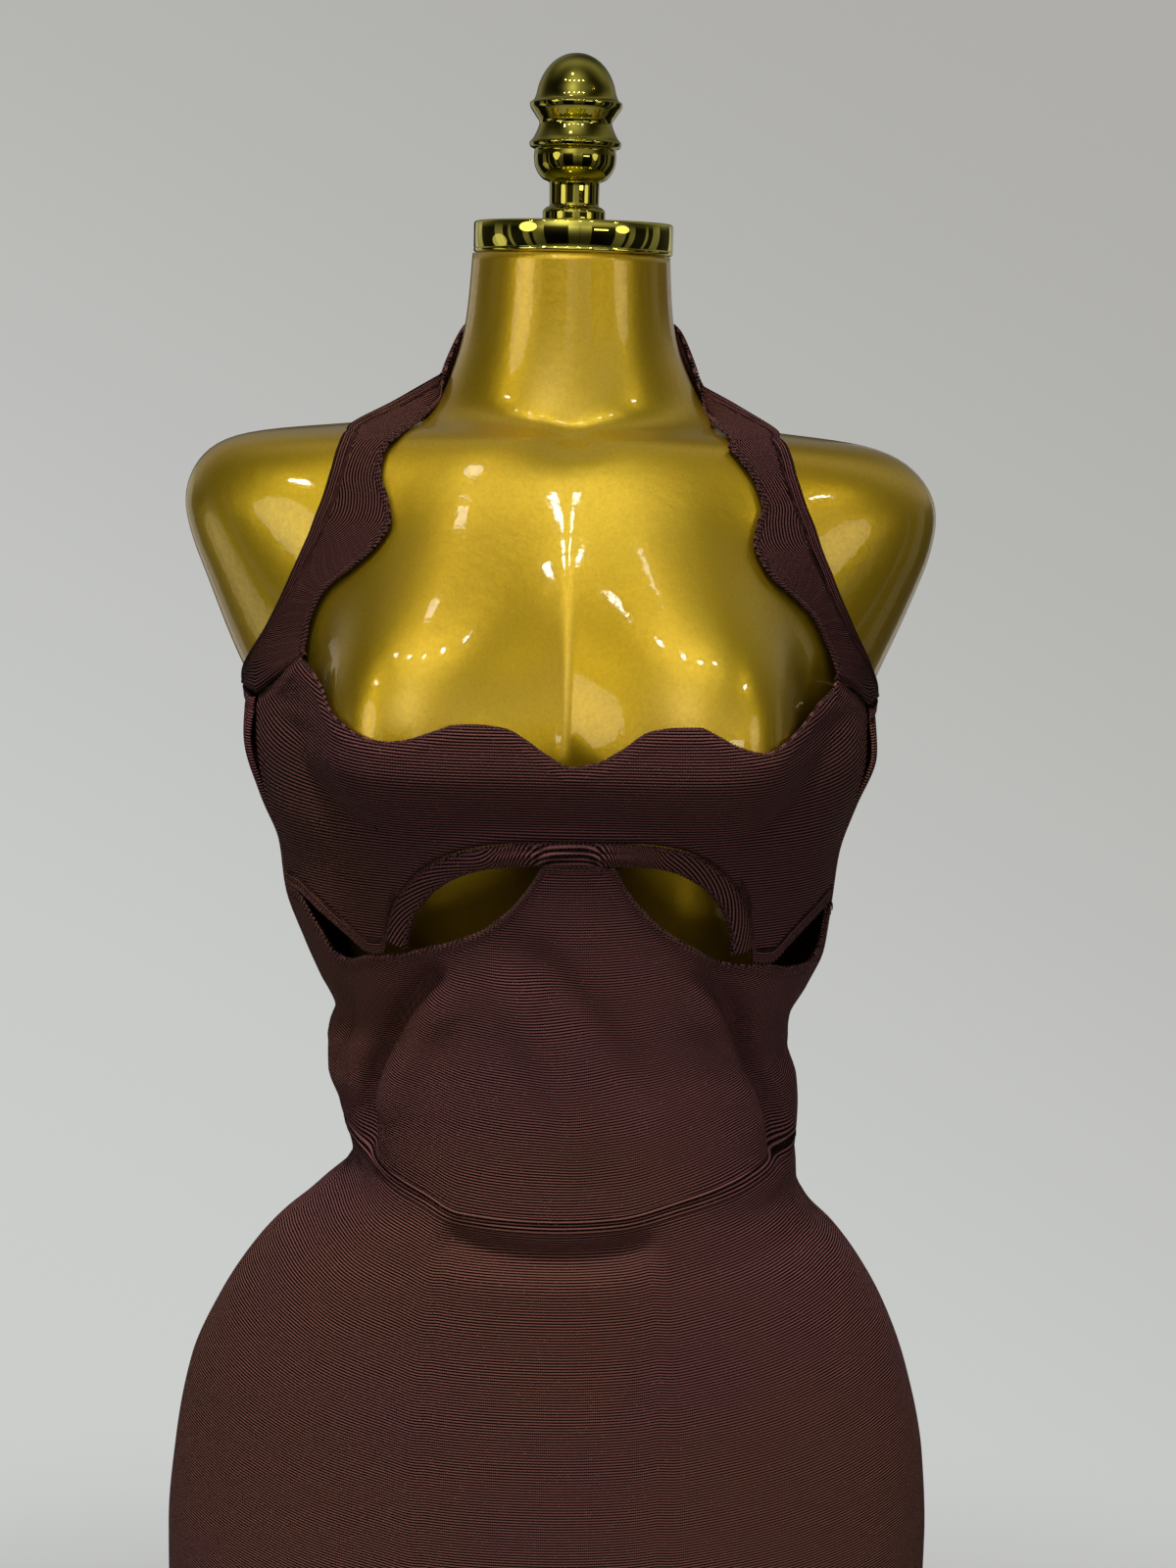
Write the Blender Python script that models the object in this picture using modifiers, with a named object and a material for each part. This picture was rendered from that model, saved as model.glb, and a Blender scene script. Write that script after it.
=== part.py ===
"""Bodycon halter dress on a limbless dress form with a round base. Metres, +Z up, front towards -Y.

The origin is the middle of the base plate's flat underside. Directions round the dress are angles from the
front: 0 in front, +90 degrees at the wearer's left (+X), 180 behind.
"""

import math

import bpy
import numpy as np

# ------------------------------------------------------------------ main sizes, metres
WALL = 0.0015         # knit cloth
SEAM = 0.0003         # gap kept between sewn pieces
EASE = 0.0026         # middle of the cloth off the form where it lies tight
BAND_WALL = 0.0030    # the folded band under the bust
BAND_HALF = 0.0049    # half its height
HEM_Z = 0.500         # lower edge of the skirt
TURN_DEG = 2.0        # the whole dress sits turned this much to the wearer's left
NECK_SEAM_DEG = 180.0

FORM_TOP_Z = 1.4575
CAP_R, CAP_LOW, CAP_HIGH = 0.0500, 1.4580, 1.4735
FINIAL_LOW = CAP_HIGH + SEAM
BASE_R, BASE_T = 0.160, 0.008
POLE_R = 0.0125
COLLAR_R, COLLAR_H = 0.030, 0.034
FLANGE_R, FLANGE_T = 0.045, 0.006

# Dress form, a row for each level: reach to its right and left, front and back
FORM = (
    # z      right   left    front   back    square
    (0.600, 0.1660, 0.1660, 0.0860, 0.0960, 2.00),
    (0.640, 0.1800, 0.1800, 0.0940, 0.1120, 2.00),
    (0.700, 0.1920, 0.1925, 0.1020, 0.1280, 2.00),
    (0.770, 0.1965, 0.1970, 0.1070, 0.1360, 2.00),
    (0.840, 0.1905, 0.1915, 0.1080, 0.1320, 2.00),
    (0.890, 0.1755, 0.1765, 0.1060, 0.1180, 2.00),
    (0.930, 0.1520, 0.1540, 0.1000, 0.1030, 2.00),
    (0.960, 0.1270, 0.1300, 0.0930, 0.0920, 2.00),
    (0.990, 0.0990, 0.1040, 0.0860, 0.0820, 2.00),
    (1.020, 0.0960, 0.0980, 0.0820, 0.0740, 2.00),
    (1.060, 0.1000, 0.1010, 0.0830, 0.0740, 2.10),
    (1.100, 0.1090, 0.1110, 0.0880, 0.0790, 2.10),
    (1.140, 0.1230, 0.1240, 0.0950, 0.0860, 2.10),
    (1.180, 0.1380, 0.1370, 0.1010, 0.0930, 2.10),
    (1.215, 0.1495, 0.1475, 0.1030, 0.0980, 2.10),
    (1.235, 0.1580, 0.1550, 0.1015, 0.1000, 2.10),
    (1.250, 0.1655, 0.1605, 0.0990, 0.1010, 2.10),
    (1.267, 0.1731, 0.1680, 0.0960, 0.1012, 2.10),
    (1.292, 0.1827, 0.1781, 0.0915, 0.1010, 2.15),
    (1.316, 0.1918, 0.1862, 0.0865, 0.0995, 2.20),
    (1.332, 0.1950, 0.1880, 0.0825, 0.0970, 2.25),
    (1.346, 0.1915, 0.1832, 0.0790, 0.0935, 2.25),
    (1.356, 0.1848, 0.1740, 0.0755, 0.0900, 2.25),
    (1.362, 0.1770, 0.1650, 0.0727, 0.0870, 2.20),
    (1.366, 0.1660, 0.1535, 0.0700, 0.0840, 2.15),
    (1.3685, 0.1450, 0.1330, 0.0674, 0.0805, 2.10),
    (1.371, 0.1160, 0.1050, 0.0636, 0.0765, 2.05),
    (1.374, 0.0880, 0.0850, 0.0582, 0.0730, 2.00),
    (1.378, 0.0710, 0.0720, 0.0552, 0.0690, 2.00),
    (1.386, 0.0645, 0.0658, 0.0538, 0.0645, 2.00),
    (1.396, 0.0610, 0.0610, 0.0526, 0.0605, 2.00),
    (1.410, 0.0560, 0.0545, 0.0515, 0.0565, 2.00),
    (1.428, 0.0528, 0.0508, 0.0505, 0.0535, 2.00),
    (FORM_TOP_Z, 0.0505, 0.0488, 0.0494, 0.0500, 2.00),
)
# The form's two cups: direction, how far they stand out, half width towards the middle and the side with the power
# that makes them full, height and reach below it. Above, they slope evenly from crest to top, with a rounding at each
CUP_DEG, CUP_OUT, CUP_DEG_IN, CUP_DEG_SIDE, CUP_TURN_POWER, CUP_Z, CUP_BELOW = 31.0, 0.057, 27.0, 20.5, 2.05, 1.220, 0.046
CUP_CREST, CUP_CREST_ROUND, CUP_TOP, CUP_TOP_ROUND = 0.042, 0.011, 0.124, 0.018
# The crease where they meet
VALLEY_IN, VALLEY_DEG, VALLEY_DEG_WIDE, VALLEY_DEG_ROUND, VALLEY_Z, VALLEY_HIGH = 0.0075, 1.0, 5.0, 0.9, 1.234, 0.058

# Soft dip in the front edge of the form's shoulders, below the neck
DIP_IN, DIP_DEG, DIP_DEG_WIDE, DIP_Z, DIP_HIGH = 0.0065, 1.5, 15.0, 1.3675, 0.0065

# Dress from hem to underarm, a row for each level: reach to the wearer's right and left, front and back
DRESS = (
    # z      right   left    front   back    square
    (0.480, 0.1840, 0.1850, 0.1060, 0.1100, 2.05),
    (0.600, 0.1940, 0.1950, 0.1100, 0.1200, 2.05),
    (0.700, 0.2010, 0.2018, 0.1135, 0.1345, 2.05),
    (0.785, 0.2022, 0.2030, 0.1160, 0.1415, 2.05),
    (0.830, 0.1984, 0.1999, 0.1165, 0.1400, 2.05),
    (0.875, 0.1902, 0.1901, 0.1160, 0.1310, 2.05),
    (0.907, 0.1766, 0.1784, 0.1140, 0.1210, 2.05),
    (0.936, 0.1582, 0.1622, 0.1115, 0.1100, 2.05),
    (0.952, 0.1439, 0.1502, 0.1100, 0.1030, 2.05),
    (0.969, 0.1241, 0.1338, 0.1085, 0.0960, 2.10),
    (0.982, 0.1099, 0.1272, 0.1075, 0.0910, 2.10),
    (0.994, 0.1046, 0.1262, 0.1065, 0.0880, 2.15),
    (1.010, 0.1080, 0.1240, 0.1055, 0.0860, 2.20),
    (1.026, 0.1110, 0.1245, 0.1055, 0.0860, 2.20),
    (1.042, 0.1171, 0.1235, 0.1060, 0.0860, 2.20),
    (1.058, 0.1178, 0.1190, 0.1070, 0.0870, 2.20),
    (1.073, 0.1145, 0.1205, 0.1090, 0.0890, 2.20),
    (1.092, 0.1235, 0.1302, 0.1120, 0.0920, 2.20),
    (1.110, 0.1318, 0.1378, 0.1150, 0.0950, 2.20),
    (1.135, 0.1413, 0.1408, 0.1200, 0.0980, 2.20),
    (1.160, 0.1447, 0.1434, 0.1270, 0.1000, 2.20),
    (1.185, 0.1538, 0.1501, 0.1340, 0.1020, 2.20),
    (1.212, 0.1592, 0.1565, 0.1340, 0.1040, 2.20),
    (1.245, 0.1610, 0.1560, 0.1200, 0.1050, 2.20),
    (1.290, 0.1777, 0.1725, 0.0950, 0.1050, 2.20),
)
# The back panel stands a little prouder than the front one at the underarm: height, reach, half height, half width
CORNER_Z, CORNER_OUT, CORNER_HIGH, CORNER_DEG = 1.213, 0.0045, 0.024, 14.0

# Side seams, degrees either side of the front before the turn
SIDE = (
    # z      deg
    (0.480, 90.0),
    (0.900, 90.0),
    (1.000, 84.5),
    (1.070, 78.0),
    (1.140, 75.0),
    (1.290, 75.0),
)

# Creases: depth in and half width, then three places that each passes through
FOLDS = (
    # depth   wide    deg_a  z_a     deg_b  z_b     deg_c  z_c
    (-0.0075, 0.0090, -31.5, 1.1090, -49.0, 1.0700, -58.5, 1.0160),
    (-0.0080, 0.0095, 38.0, 1.1110, 55.0, 1.0680, 69.0, 1.0140),
    (0.0028, 0.0130, -69.0, 1.0650, -72.0, 1.0430, -73.0, 1.0250),
    (0.0028, 0.0120, 76.0, 1.0450, 78.0, 1.0300, 80.0, 1.0150),
    (-0.0070, 0.0085, -26.0, 0.9720, 0.0, 0.9670, 25.0, 0.9725),
    (-0.0045, 0.0100, 140.0, 1.0450, 180.0, 1.0330, 214.0, 1.0430),
    (-0.0035, 0.0090, 152.0, 1.0750, 184.0, 1.0660, 220.0, 1.0800),
    (-0.0040, 0.0110, 150.0, 0.9750, 178.0, 0.9700, 206.0, 0.9760),
)

# Upper edge of the bust panel from the right side seam to the left one, scalloped, with a strap corner at each end
NECKLINE = (
    # deg    z
    (-73.0, 1.2366),
    (-70.9, 1.2388),
    (-61.7, 1.2504),
    (-55.8, 1.2593),
    (-54.2, 1.2616),
    (-52.5, 1.2604),
    (-45.9, 1.2517),
    (-42.2, 1.2428),
    (-36.5, 1.2363),
    (-32.1, 1.2317),
    (-29.0, 1.2302),
    (-25.5, 1.2315),
    (-21.6, 1.2354),
    (-17.5, 1.2391),
    (-14.1, 1.2393),
    (-9.5, 1.2378),
    (-5.9, 1.2328),
    (-2.0, 1.2258),
    (2.1, 1.2206),
    (6.4, 1.2227),
    (10.9, 1.2293),
    (15.7, 1.2379),
    (19.7, 1.2398),
    (23.5, 1.2402),
    (25.9, 1.2370),
    (29.2, 1.2316),
    (34.1, 1.2279),
    (38.7, 1.2311),
    (46.3, 1.2372),
    (53.2, 1.2454),
    (59.3, 1.2507),
    (60.8, 1.2542),
    (62.1, 1.2530),
    (68.2, 1.2470),
    (74.0, 1.2395),
    (77.0, 1.2362),
)
# Upper edge of the back panel, from the left side seam round behind to the right one
BACK_TOP = (
    # deg    z
    (77.0, 1.2362),
    (86.0, 1.2380),
    (120.0, 1.2360),
    (182.0, 1.2290),
    (243.0, 1.2360),
    (277.0, 1.2385),
    (287.0, 1.2366),
)
# Middle line of the band under the bust, from its right foot over to its left foot
BAND = (
    # deg    z
    (-37.4, 1.1245),
    (-36.0, 1.1335),
    (-34.4, 1.1415),
    (-31.5, 1.1505),
    (-27.1, 1.1605),
    (-21.2, 1.1686),
    (-14.8, 1.1735),
    (-7.6, 1.1758),
    (0.0, 1.1766),
    (9.0, 1.1767),
    (17.0, 1.1760),
    (23.3, 1.1737),
    (29.5, 1.1675),
    (35.2, 1.1580),
    (39.3, 1.1470),
    (42.2, 1.1345),
    (43.8, 1.1228),
)
# Lower edge of the bust panel beside the band's feet: level with the side seam, then down to a tip
BUST_LOW_RIGHT = (
    # deg    z
    (-73.0, 1.1412),
    (-65.8, 1.1407),
    (-57.4, 1.1335),
    (-50.6, 1.1251),
    (-44.7, 1.1172),
    (-41.0, 1.1180),
)
BUST_LOW_LEFT = (
    # deg    z
    (47.2, 1.1162),
    (52.0, 1.1145),
    (57.6, 1.1230),
    (64.3, 1.1312),
    (73.5, 1.1372),
    (77.0, 1.1376),
)
# Upper edge of the midriff panel: it meets the bust panel at the side seams, the band's feet and the middle
MIDRIFF_TOP = (
    # deg    z
    (-73.0, 1.1408),
    (-65.8, 1.1397),
    (-62.2, 1.1318),
    (-59.3, 1.1216),
    (-57.0, 1.1135),
    (-52.0, 1.1115),
    (-45.5, 1.1159),
    (-41.0, 1.1174),
    (-38.8, 1.1188),
    (-35.5, 1.1202),
    (-32.5, 1.1226),
    (-30.0, 1.1243),
    (-23.8, 1.1286),
    (-17.5, 1.1346),
    (-12.0, 1.1433),
    (-7.7, 1.1533),
    (-4.7, 1.1631),
    (-2.6, 1.1706),
    (4.2, 1.1713),
    (11.2, 1.1703),
    (14.6, 1.1588),
    (18.9, 1.1475),
    (24.9, 1.1360),
    (32.3, 1.1261),
    (39.4, 1.1188),
    (42.4, 1.1170),
    (46.4, 1.1155),
    (52.0, 1.1136),
    (57.9, 1.1103),
    (65.7, 1.1090),
    (71.7, 1.1144),
    (74.4, 1.1222),
    (75.4, 1.1352),
    (77.0, 1.1372),
)
# Waist seam all round, low in front
WAIST = (
    # deg     z
    (-180.0, 1.0000),
    (-130.0, 1.0050),
    (-90.0, 1.0130),
    (-72.0, 1.0112),
    (-58.0, 1.0037),
    (-48.6, 0.9970),
    (-35.4, 0.9915),
    (-24.4, 0.9853),
    (0.0, 0.9848),
    (18.1, 0.9862),
    (33.3, 0.9920),
    (49.2, 0.9974),
    (68.7, 1.0047),
    (88.0, 1.0072),
    (130.0, 1.0030),
    (180.0, 1.0000),
)
# Straps from the bust up over the shoulder and round behind the neck: armhole edge and neck edge. Up to the
# shoulder they lie on the form (free 0); from there they hang between their own edges, whose reach is given.
STRAP_RIGHT = (
    # outer_deg outer_z inner_deg inner_z free outer_reach inner_reach
    (78.0, 1.2500, 56.2, 1.2658, 0.0, 0.1620, 0.1470),
    (71.6, 1.2631, 56.6, 1.2740, 0.0, 0.1617, 0.1470),
    (67.0, 1.2771, 55.5, 1.2849, 0.0, 0.1580, 0.1440),
    (63.9, 1.2901, 53.5, 1.2936, 0.0, 0.1540, 0.1410),
    (61.9, 1.3021, 47.7, 1.3050, 0.0, 0.1500, 0.1320),
    (60.5, 1.3130, 43.9, 1.3152, 0.0, 0.1470, 0.1240),
    (59.6, 1.3239, 42.9, 1.3243, 0.0, 0.1440, 0.1190),
    (59.2, 1.3369, 46.2, 1.3367, 0.0, 0.1390, 0.1170),
    (59.5, 1.3469, 50.0, 1.3478, 0.0, 0.1350, 0.1160),
    (60.4, 1.3565, 51.5, 1.3559, 0.0, 0.1290, 0.1125),
    (62.1, 1.3640, 52.2, 1.3624, 0.0, 0.1235, 0.1080),
    (66.8, 1.3704, 52.2, 1.3672, 1.0, 0.1185, 0.1042),
    (76.3, 1.3836, 62.8, 1.3757, 1.0, 0.0895, 0.0812),
    (90.0, 1.3975, 79.4, 1.3840, 1.0, 0.0656, 0.0672),
    (104.0, 1.3985, 97.0, 1.4050, 1.0, 0.0662, 0.0620),
    (122.0, 1.4000, 114.0, 1.4235, 1.0, 0.0672, 0.0580),
    (150.0, 1.4020, 148.0, 1.4300, 1.0, 0.0668, 0.0575),
    (NECK_SEAM_DEG, 1.4040, NECK_SEAM_DEG, 1.4320, 1.0, 0.0665, 0.0575),
)
STRAP_LEFT = (
    # outer_deg outer_z inner_deg inner_z free outer_reach inner_reach
    (80.0, 1.2470, 61.3, 1.2587, 0.0, 0.1600, 0.1490),
    (74.3, 1.2581, 60.8, 1.2670, 0.0, 0.1590, 0.1475),
    (69.2, 1.2721, 58.6, 1.2769, 0.0, 0.1560, 0.1460),
    (65.9, 1.2831, 55.7, 1.2863, 0.0, 0.1530, 0.1410),
    (63.2, 1.2951, 50.4, 1.2968, 0.0, 0.1500, 0.1360),
    (61.5, 1.3060, 46.0, 1.3062, 0.0, 0.1480, 0.1290),
    (60.2, 1.3170, 44.9, 1.3173, 0.0, 0.1440, 0.1232),
    (59.6, 1.3279, 47.5, 1.3278, 0.0, 0.1420, 0.1226),
    (59.1, 1.3389, 50.7, 1.3388, 0.0, 0.1370, 0.1216),
    (59.3, 1.3489, 50.9, 1.3489, 0.0, 0.1310, 0.1150),
    (60.6, 1.3590, 50.0, 1.3579, 0.0, 0.1250, 0.1080),
    (63.2, 1.3664, 49.5, 1.3645, 0.3, 0.1200, 0.1040),
    (70.0, 1.3727, 51.2, 1.3684, 1.0, 0.1105, 0.1020),
    (77.0, 1.3842, 61.5, 1.3754, 1.0, 0.0870, 0.0822),
    (89.0, 1.3955, 78.0, 1.3795, 1.0, 0.0658, 0.0716),
    (104.0, 1.3985, 94.0, 1.4010, 1.0, 0.0662, 0.0628),
    (122.0, 1.4000, 113.0, 1.4235, 1.0, 0.0672, 0.0578),
    (150.0, 1.4020, 148.0, 1.4300, 1.0, 0.0668, 0.0575),
    (NECK_SEAM_DEG, 1.4040, NECK_SEAM_DEG, 1.4320, 1.0, 0.0665, 0.0575),
)
STRAP_LIFT = 0.0030    # middle of the strap off the form
# Rows of the skirt's grid, as shares of its length below the waist seam: close together over the hip
SKIRT_ROWS = (0.0, 0.015, 0.030, 0.048, 0.072, 0.105, 0.155, 0.240, 0.380, 0.620, 1.0)
STRAP_END_DEG = 84.0   # how far round the underarm each strap's lower end reaches

# Finial above its seat, top to bottom
FINIAL = (
    # height  radius
    (0.0827, 0.0000),
    (0.0822, 0.0040),
    (0.0806, 0.0082),
    (0.0776, 0.0124),
    (0.0730, 0.0161),
    (0.0672, 0.0188),
    (0.0620, 0.0201),
    (0.0596, 0.0212),
    (0.0580, 0.0231),
    (0.0562, 0.0229),
    (0.0520, 0.0203),
    (0.0484, 0.0182),
    (0.0455, 0.0190),
    (0.0410, 0.0212),
    (0.0386, 0.0230),
    (0.0368, 0.0226),
    (0.0352, 0.0203),
    (0.0322, 0.0206),
    (0.0284, 0.0203),
    (0.0245, 0.0188),
    (0.0210, 0.0160),
    (0.0190, 0.0126),
    (0.0082, 0.0124),
    (0.0070, 0.0142),
    (0.0048, 0.0157),
    (0.0016, 0.0157),
    (0.0000, 0.0146),
    (0.0000, 0.0000),
)

# ------------------------------------------------------------------ curves and surfaces


def smooth_table(rows, x):
    """Every later column of a table at the places x of its first column, by a monotone cubic through its rows."""
    t = np.array(rows, float)
    k, y = t[:, 0], t[:, 1:]
    h = np.diff(k)[:, None]
    d = np.diff(y, axis=0) / h
    m = np.zeros_like(y)
    m[0], m[-1] = d[0], d[-1]
    w1, w2 = 2 * h[1:] + h[:-1], h[1:] + 2 * h[:-1]
    same = d[:-1] * d[1:] > 0
    safe = np.where(same, d[:-1] * d[1:], 1.0)
    m[1:-1] = np.where(same, (w1 + w2) * safe / np.where(same, w1 * d[1:] + w2 * d[:-1], 1.0), 0.0)
    x = np.clip(np.asarray(x, float), k[0], k[-1])
    i = np.clip(np.searchsorted(k, x, side="right") - 1, 0, len(k) - 2)
    s = ((x - k[i]) / (k[i + 1] - k[i]))[..., None]
    hh = (k[i + 1] - k[i])[..., None]
    return (
        (1 + 2 * s) * (1 - s) ** 2 * y[i]
        + s * (1 - s) ** 2 * hh * m[i]
        + s * s * (3 - 2 * s) * y[i + 1]
        + s * s * (s - 1) * hh * m[i + 1]
    )


def edge(rows, x):
    return smooth_table(rows, x)[..., 0]


def wrapped(theta):
    return (np.asarray(theta, float) + math.pi) % (2 * math.pi) - math.pi


def oval(theta, side, depth, n):
    return (np.abs(np.sin(theta) / side) ** n + np.abs(np.cos(theta) / depth) ** n) ** (-1 / n)


def form_radius(theta, z):
    """How far the dress form reaches from its middle line."""
    theta = wrapped(theta)
    right, left, front, back, n = np.moveaxis(smooth_table(FORM, z), -1, 0)
    r = oval(theta, np.where(theta < 0, right, left), np.where(np.abs(theta) < math.pi / 2, front, back), n)
    dz = np.asarray(z, float) - CUP_Z
    fall = CUP_CREST_ROUND * np.logaddexp(0, (dz - CUP_CREST) / CUP_CREST_ROUND)
    fall = fall - CUP_TOP_ROUND * np.logaddexp(0, (dz - CUP_TOP) / CUP_TOP_ROUND)
    level = (1 - fall / (CUP_TOP - CUP_CREST)) * np.exp(-((np.minimum(dz, 0) / CUP_BELOW) ** 2))
    around = 0
    for sign in (-1, 1):
        turn = np.degrees(theta * sign) - CUP_DEG
        around = around + np.exp(-((np.abs(turn) / np.where(turn < 0, CUP_DEG_IN, CUP_DEG_SIDE)) ** CUP_TURN_POWER))
    across = np.hypot(theta - math.radians(VALLEY_DEG), math.radians(VALLEY_DEG_ROUND)) / math.radians(VALLEY_DEG_WIDE)
    crease = np.exp(-across - ((dz + CUP_Z - VALLEY_Z) / VALLEY_HIGH) ** 2)
    dip = np.exp(-(((theta - math.radians(DIP_DEG)) / math.radians(DIP_DEG_WIDE)) ** 2 + ((dz + CUP_Z - DIP_Z) / DIP_HIGH) ** 2))
    return r + CUP_OUT * level * around - DIP_IN * dip - VALLEY_IN * crease


def tight_radius(z, steps):
    """Reach of cloth pulled tight round the form at one height, which spans the form's hollows."""
    th = np.linspace(-math.pi, math.pi, steps, endpoint=False)
    r = form_radius(th, np.full(steps, z)) + EASE
    away = np.cos(th[:, None] - th[None, :])
    most = (r[:, None] * away).max(axis=0)
    return np.where(away > 0.2, most[:, None] / np.maximum(away, 0.2), 9.0).min(axis=0)


class Around:
    """Values on a grid of heights and directions, read between its points by a smooth cubic."""

    def __init__(self, low, high, levels, steps, row_at):
        self.low, self.rise = low, (high - low) / (levels - 1)
        self.levels, self.steps = levels, steps
        self.values = np.stack([row_at(z, steps) for z in np.linspace(low, high, levels)])

    def __call__(self, theta, z):
        x = (wrapped(theta) + math.pi) / (2 * math.pi) * self.steps
        y = np.clip((np.asarray(z, float) - self.low) / self.rise, 0, self.levels - 1.0001)
        i, j = np.floor(y).astype(int), np.floor(x).astype(int)

        def weights(t):
            return (
                ((2 - t) * t - 1) * t / 2,
                ((3 * t - 5) * t * t + 2) / 2,
                ((4 - 3 * t) * t + 1) * t / 2,
                (t - 1) * t * t / 2,
            )

        total = 0
        for di, wi in zip((-1, 0, 1, 2), weights(y - i)):
            row = np.clip(i + di, 0, self.levels - 1)
            for dj, wj in zip((-1, 0, 1, 2), weights(x - j)):
                total = total + wi * wj * self.values[row, (j + dj) % self.steps]
        return total


TIGHT = Around(0.46, 1.32, 130, 120, tight_radius)


def fold_depth(theta, z):
    """How far the creases move the cloth out (or in, below zero)."""
    theta, z = np.broadcast_arrays(np.asarray(theta, float), np.asarray(z, float))
    total = np.zeros(theta.shape)
    t = np.linspace(0, 1, 13)
    for depth, wide, da, za, db, zb, dc, zc in FOLDS:
        deg = (1 - t) ** 2 * da + 2 * t * (1 - t) * (2 * db - (da + dc) / 2) + t * t * dc
        high = (1 - t) ** 2 * za + 2 * t * (1 - t) * (2 * zb - (za + zc) / 2) + t * t * zc
        middle = math.radians((da + dc) / 2)
        turn = wrapped(theta - middle)
        x = turn * 0.112
        px, pz = (np.radians(deg) - middle) * 0.112, high
        nearest = np.full(theta.shape, 9.0)
        for k in range(len(t) - 1):
            ax, az, bx, bz = px[k], pz[k], px[k + 1], pz[k + 1]
            along = ((x - ax) * (bx - ax) + (z - az) * (bz - az)) / ((bx - ax) ** 2 + (bz - az) ** 2)
            along = np.clip(along, 0, 1)
            nearest = np.minimum(nearest, np.hypot(x - ax - along * (bx - ax), z - az - along * (bz - az)))
        total = total + depth * np.exp(-((nearest / wide) ** 2))
    return total


def body_radius(theta, z):
    """Reach of the middle of the dress's cloth: its own sections and creases, but never inside the tight one."""
    theta = wrapped(theta)
    right, left, front, back, n = np.moveaxis(smooth_table(DRESS, z), -1, 0)
    r = oval(theta, np.where(theta < 0, right, left), np.where(np.abs(theta) < math.pi / 2, front, back), n)
    r = r + fold_depth(theta, z)
    tight = TIGHT(theta, z)
    return (r + tight + np.sqrt((r - tight) ** 2 + 0.003**2)) / 2


def place(theta, z, r):
    return np.stack([r * np.sin(theta), -r * np.cos(theta), np.broadcast_to(z, np.shape(r))], axis=-1)


def outward(surface, theta, z):
    """The direction square to a surface that is given as a function of direction and height."""
    d = 1.5e-3
    across = surface(theta + d / 0.13, z) - surface(theta - d / 0.13, z)
    up = surface(theta, z + d) - surface(theta, z - d)
    out = np.cross(across, up)
    return out / np.linalg.norm(out, axis=-1, keepdims=True)


def body_surface(theta, z):
    return place(theta, z, body_radius(theta, z))


def back_surface(theta, z):
    return place(theta, z, body_radius(theta, z) + corner_out(theta, z))


def form_surface(theta, z):
    return place(theta, z, form_radius(theta, z))


def side_deg(z):
    return edge(SIDE, z)


def share_of(rows):
    """A front edge's rows with each angle written as a share of the way from the front to the side seam."""
    return tuple(((deg - TURN_DEG) / float(side_deg(z)), z) for deg, z in rows)


def spaced(places, step):
    """The places given, with even ones between them no further apart than step."""
    out = [places[0]]
    for a, b in zip(places, places[1:]):
        n = max(1, math.ceil((b - a) / step - 1e-6))
        out += [a + (b - a) * k / n for k in range(1, n + 1)]
    return np.array(out)


def thinned(must, others, apart):
    """The first places, and those of the others that are further apart than that from them and each other."""
    kept = sorted(must)
    for place_ in others:
        if min(abs(place_ - k) for k in kept) > apart:
            kept.append(place_)
    return sorted(kept)


# ------------------------------------------------------------------ scene, materials, objects


def clear_scene():
    for obj in list(bpy.data.objects):
        bpy.data.objects.remove(obj, do_unlink=True)


def collection(name):
    made = bpy.data.collections.new(name)
    bpy.context.scene.collection.children.link(made)
    return made


def material(name, colour, roughness, metallic=0.0):
    made = bpy.data.materials.new(name)
    made.use_nodes = True
    shader = next(n for n in made.node_tree.nodes if n.type == "BSDF_PRINCIPLED")
    shader.inputs["Base Color"].default_value = (*colour, 1.0)
    shader.inputs["Roughness"].default_value = roughness
    shader.inputs["Metallic"].default_value = metallic
    made.diffuse_color = (*colour, 1.0)
    return made


def mesh_object(name, verts, faces, mat, group, smooth=True):
    mesh = bpy.data.meshes.new(name)
    mesh.from_pydata([tuple(v) for v in verts], [], faces)
    mesh.materials.append(mat)
    if smooth:
        mesh.shade_smooth()
        mesh.set_sharp_from_angle(angle=math.radians(40))
    obj = bpy.data.objects.new(name, mesh)
    group.objects.link(obj)
    return obj


def cloth_sheet(name, points, out, mat, group, thickness=WALL):
    """A wall of cloth: its middle is a grid of points, upper row first, and it is as thick along the directions out."""
    rows, cols = points.shape[:2]
    half = out * thickness / 2
    verts = np.concatenate([(points + half).reshape(-1, 3), (points - half).reshape(-1, 3)])
    inner = rows * cols
    faces = []
    for i in range(rows - 1):
        for j in range(cols - 1):
            a, b, c, d = i * cols + j, (i + 1) * cols + j, (i + 1) * cols + j + 1, i * cols + j + 1
            faces += [(a, b, c, d), (a + inner, d + inner, c + inner, b + inner)]
    rim = [(0, j) for j in range(cols)] + [(i, cols - 1) for i in range(1, rows)]
    rim += [(rows - 1, j) for j in range(cols - 2, -1, -1)] + [(i, 0) for i in range(rows - 2, 0, -1)]
    for (i, j), (k, m) in zip(rim, rim[1:] + rim[:1]):
        a, b = i * cols + j, k * cols + m
        faces.append((a, b, b + inner, a + inner))
    return mesh_object(name, verts, faces, mat, group)


def turned(name, profile, steps, mat, group):
    """A solid of revolution about Z from (height, radius) pairs that run down its outer side."""
    mesh = bpy.data.meshes.new(name)
    mesh.from_pydata([(r, 0.0, z) for z, r in profile], [(k, k + 1) for k in range(len(profile) - 1)], [])
    mesh.materials.append(mat)
    obj = bpy.data.objects.new(name, mesh)
    group.objects.link(obj)
    screw = obj.modifiers.new("Turn", "SCREW")
    screw.angle = 2 * math.pi
    screw.steps = screw.render_steps = steps
    screw.use_merge_vertices = True
    screw.merge_threshold = 0.00002
    screw.use_smooth_shade = True
    return obj


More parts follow.
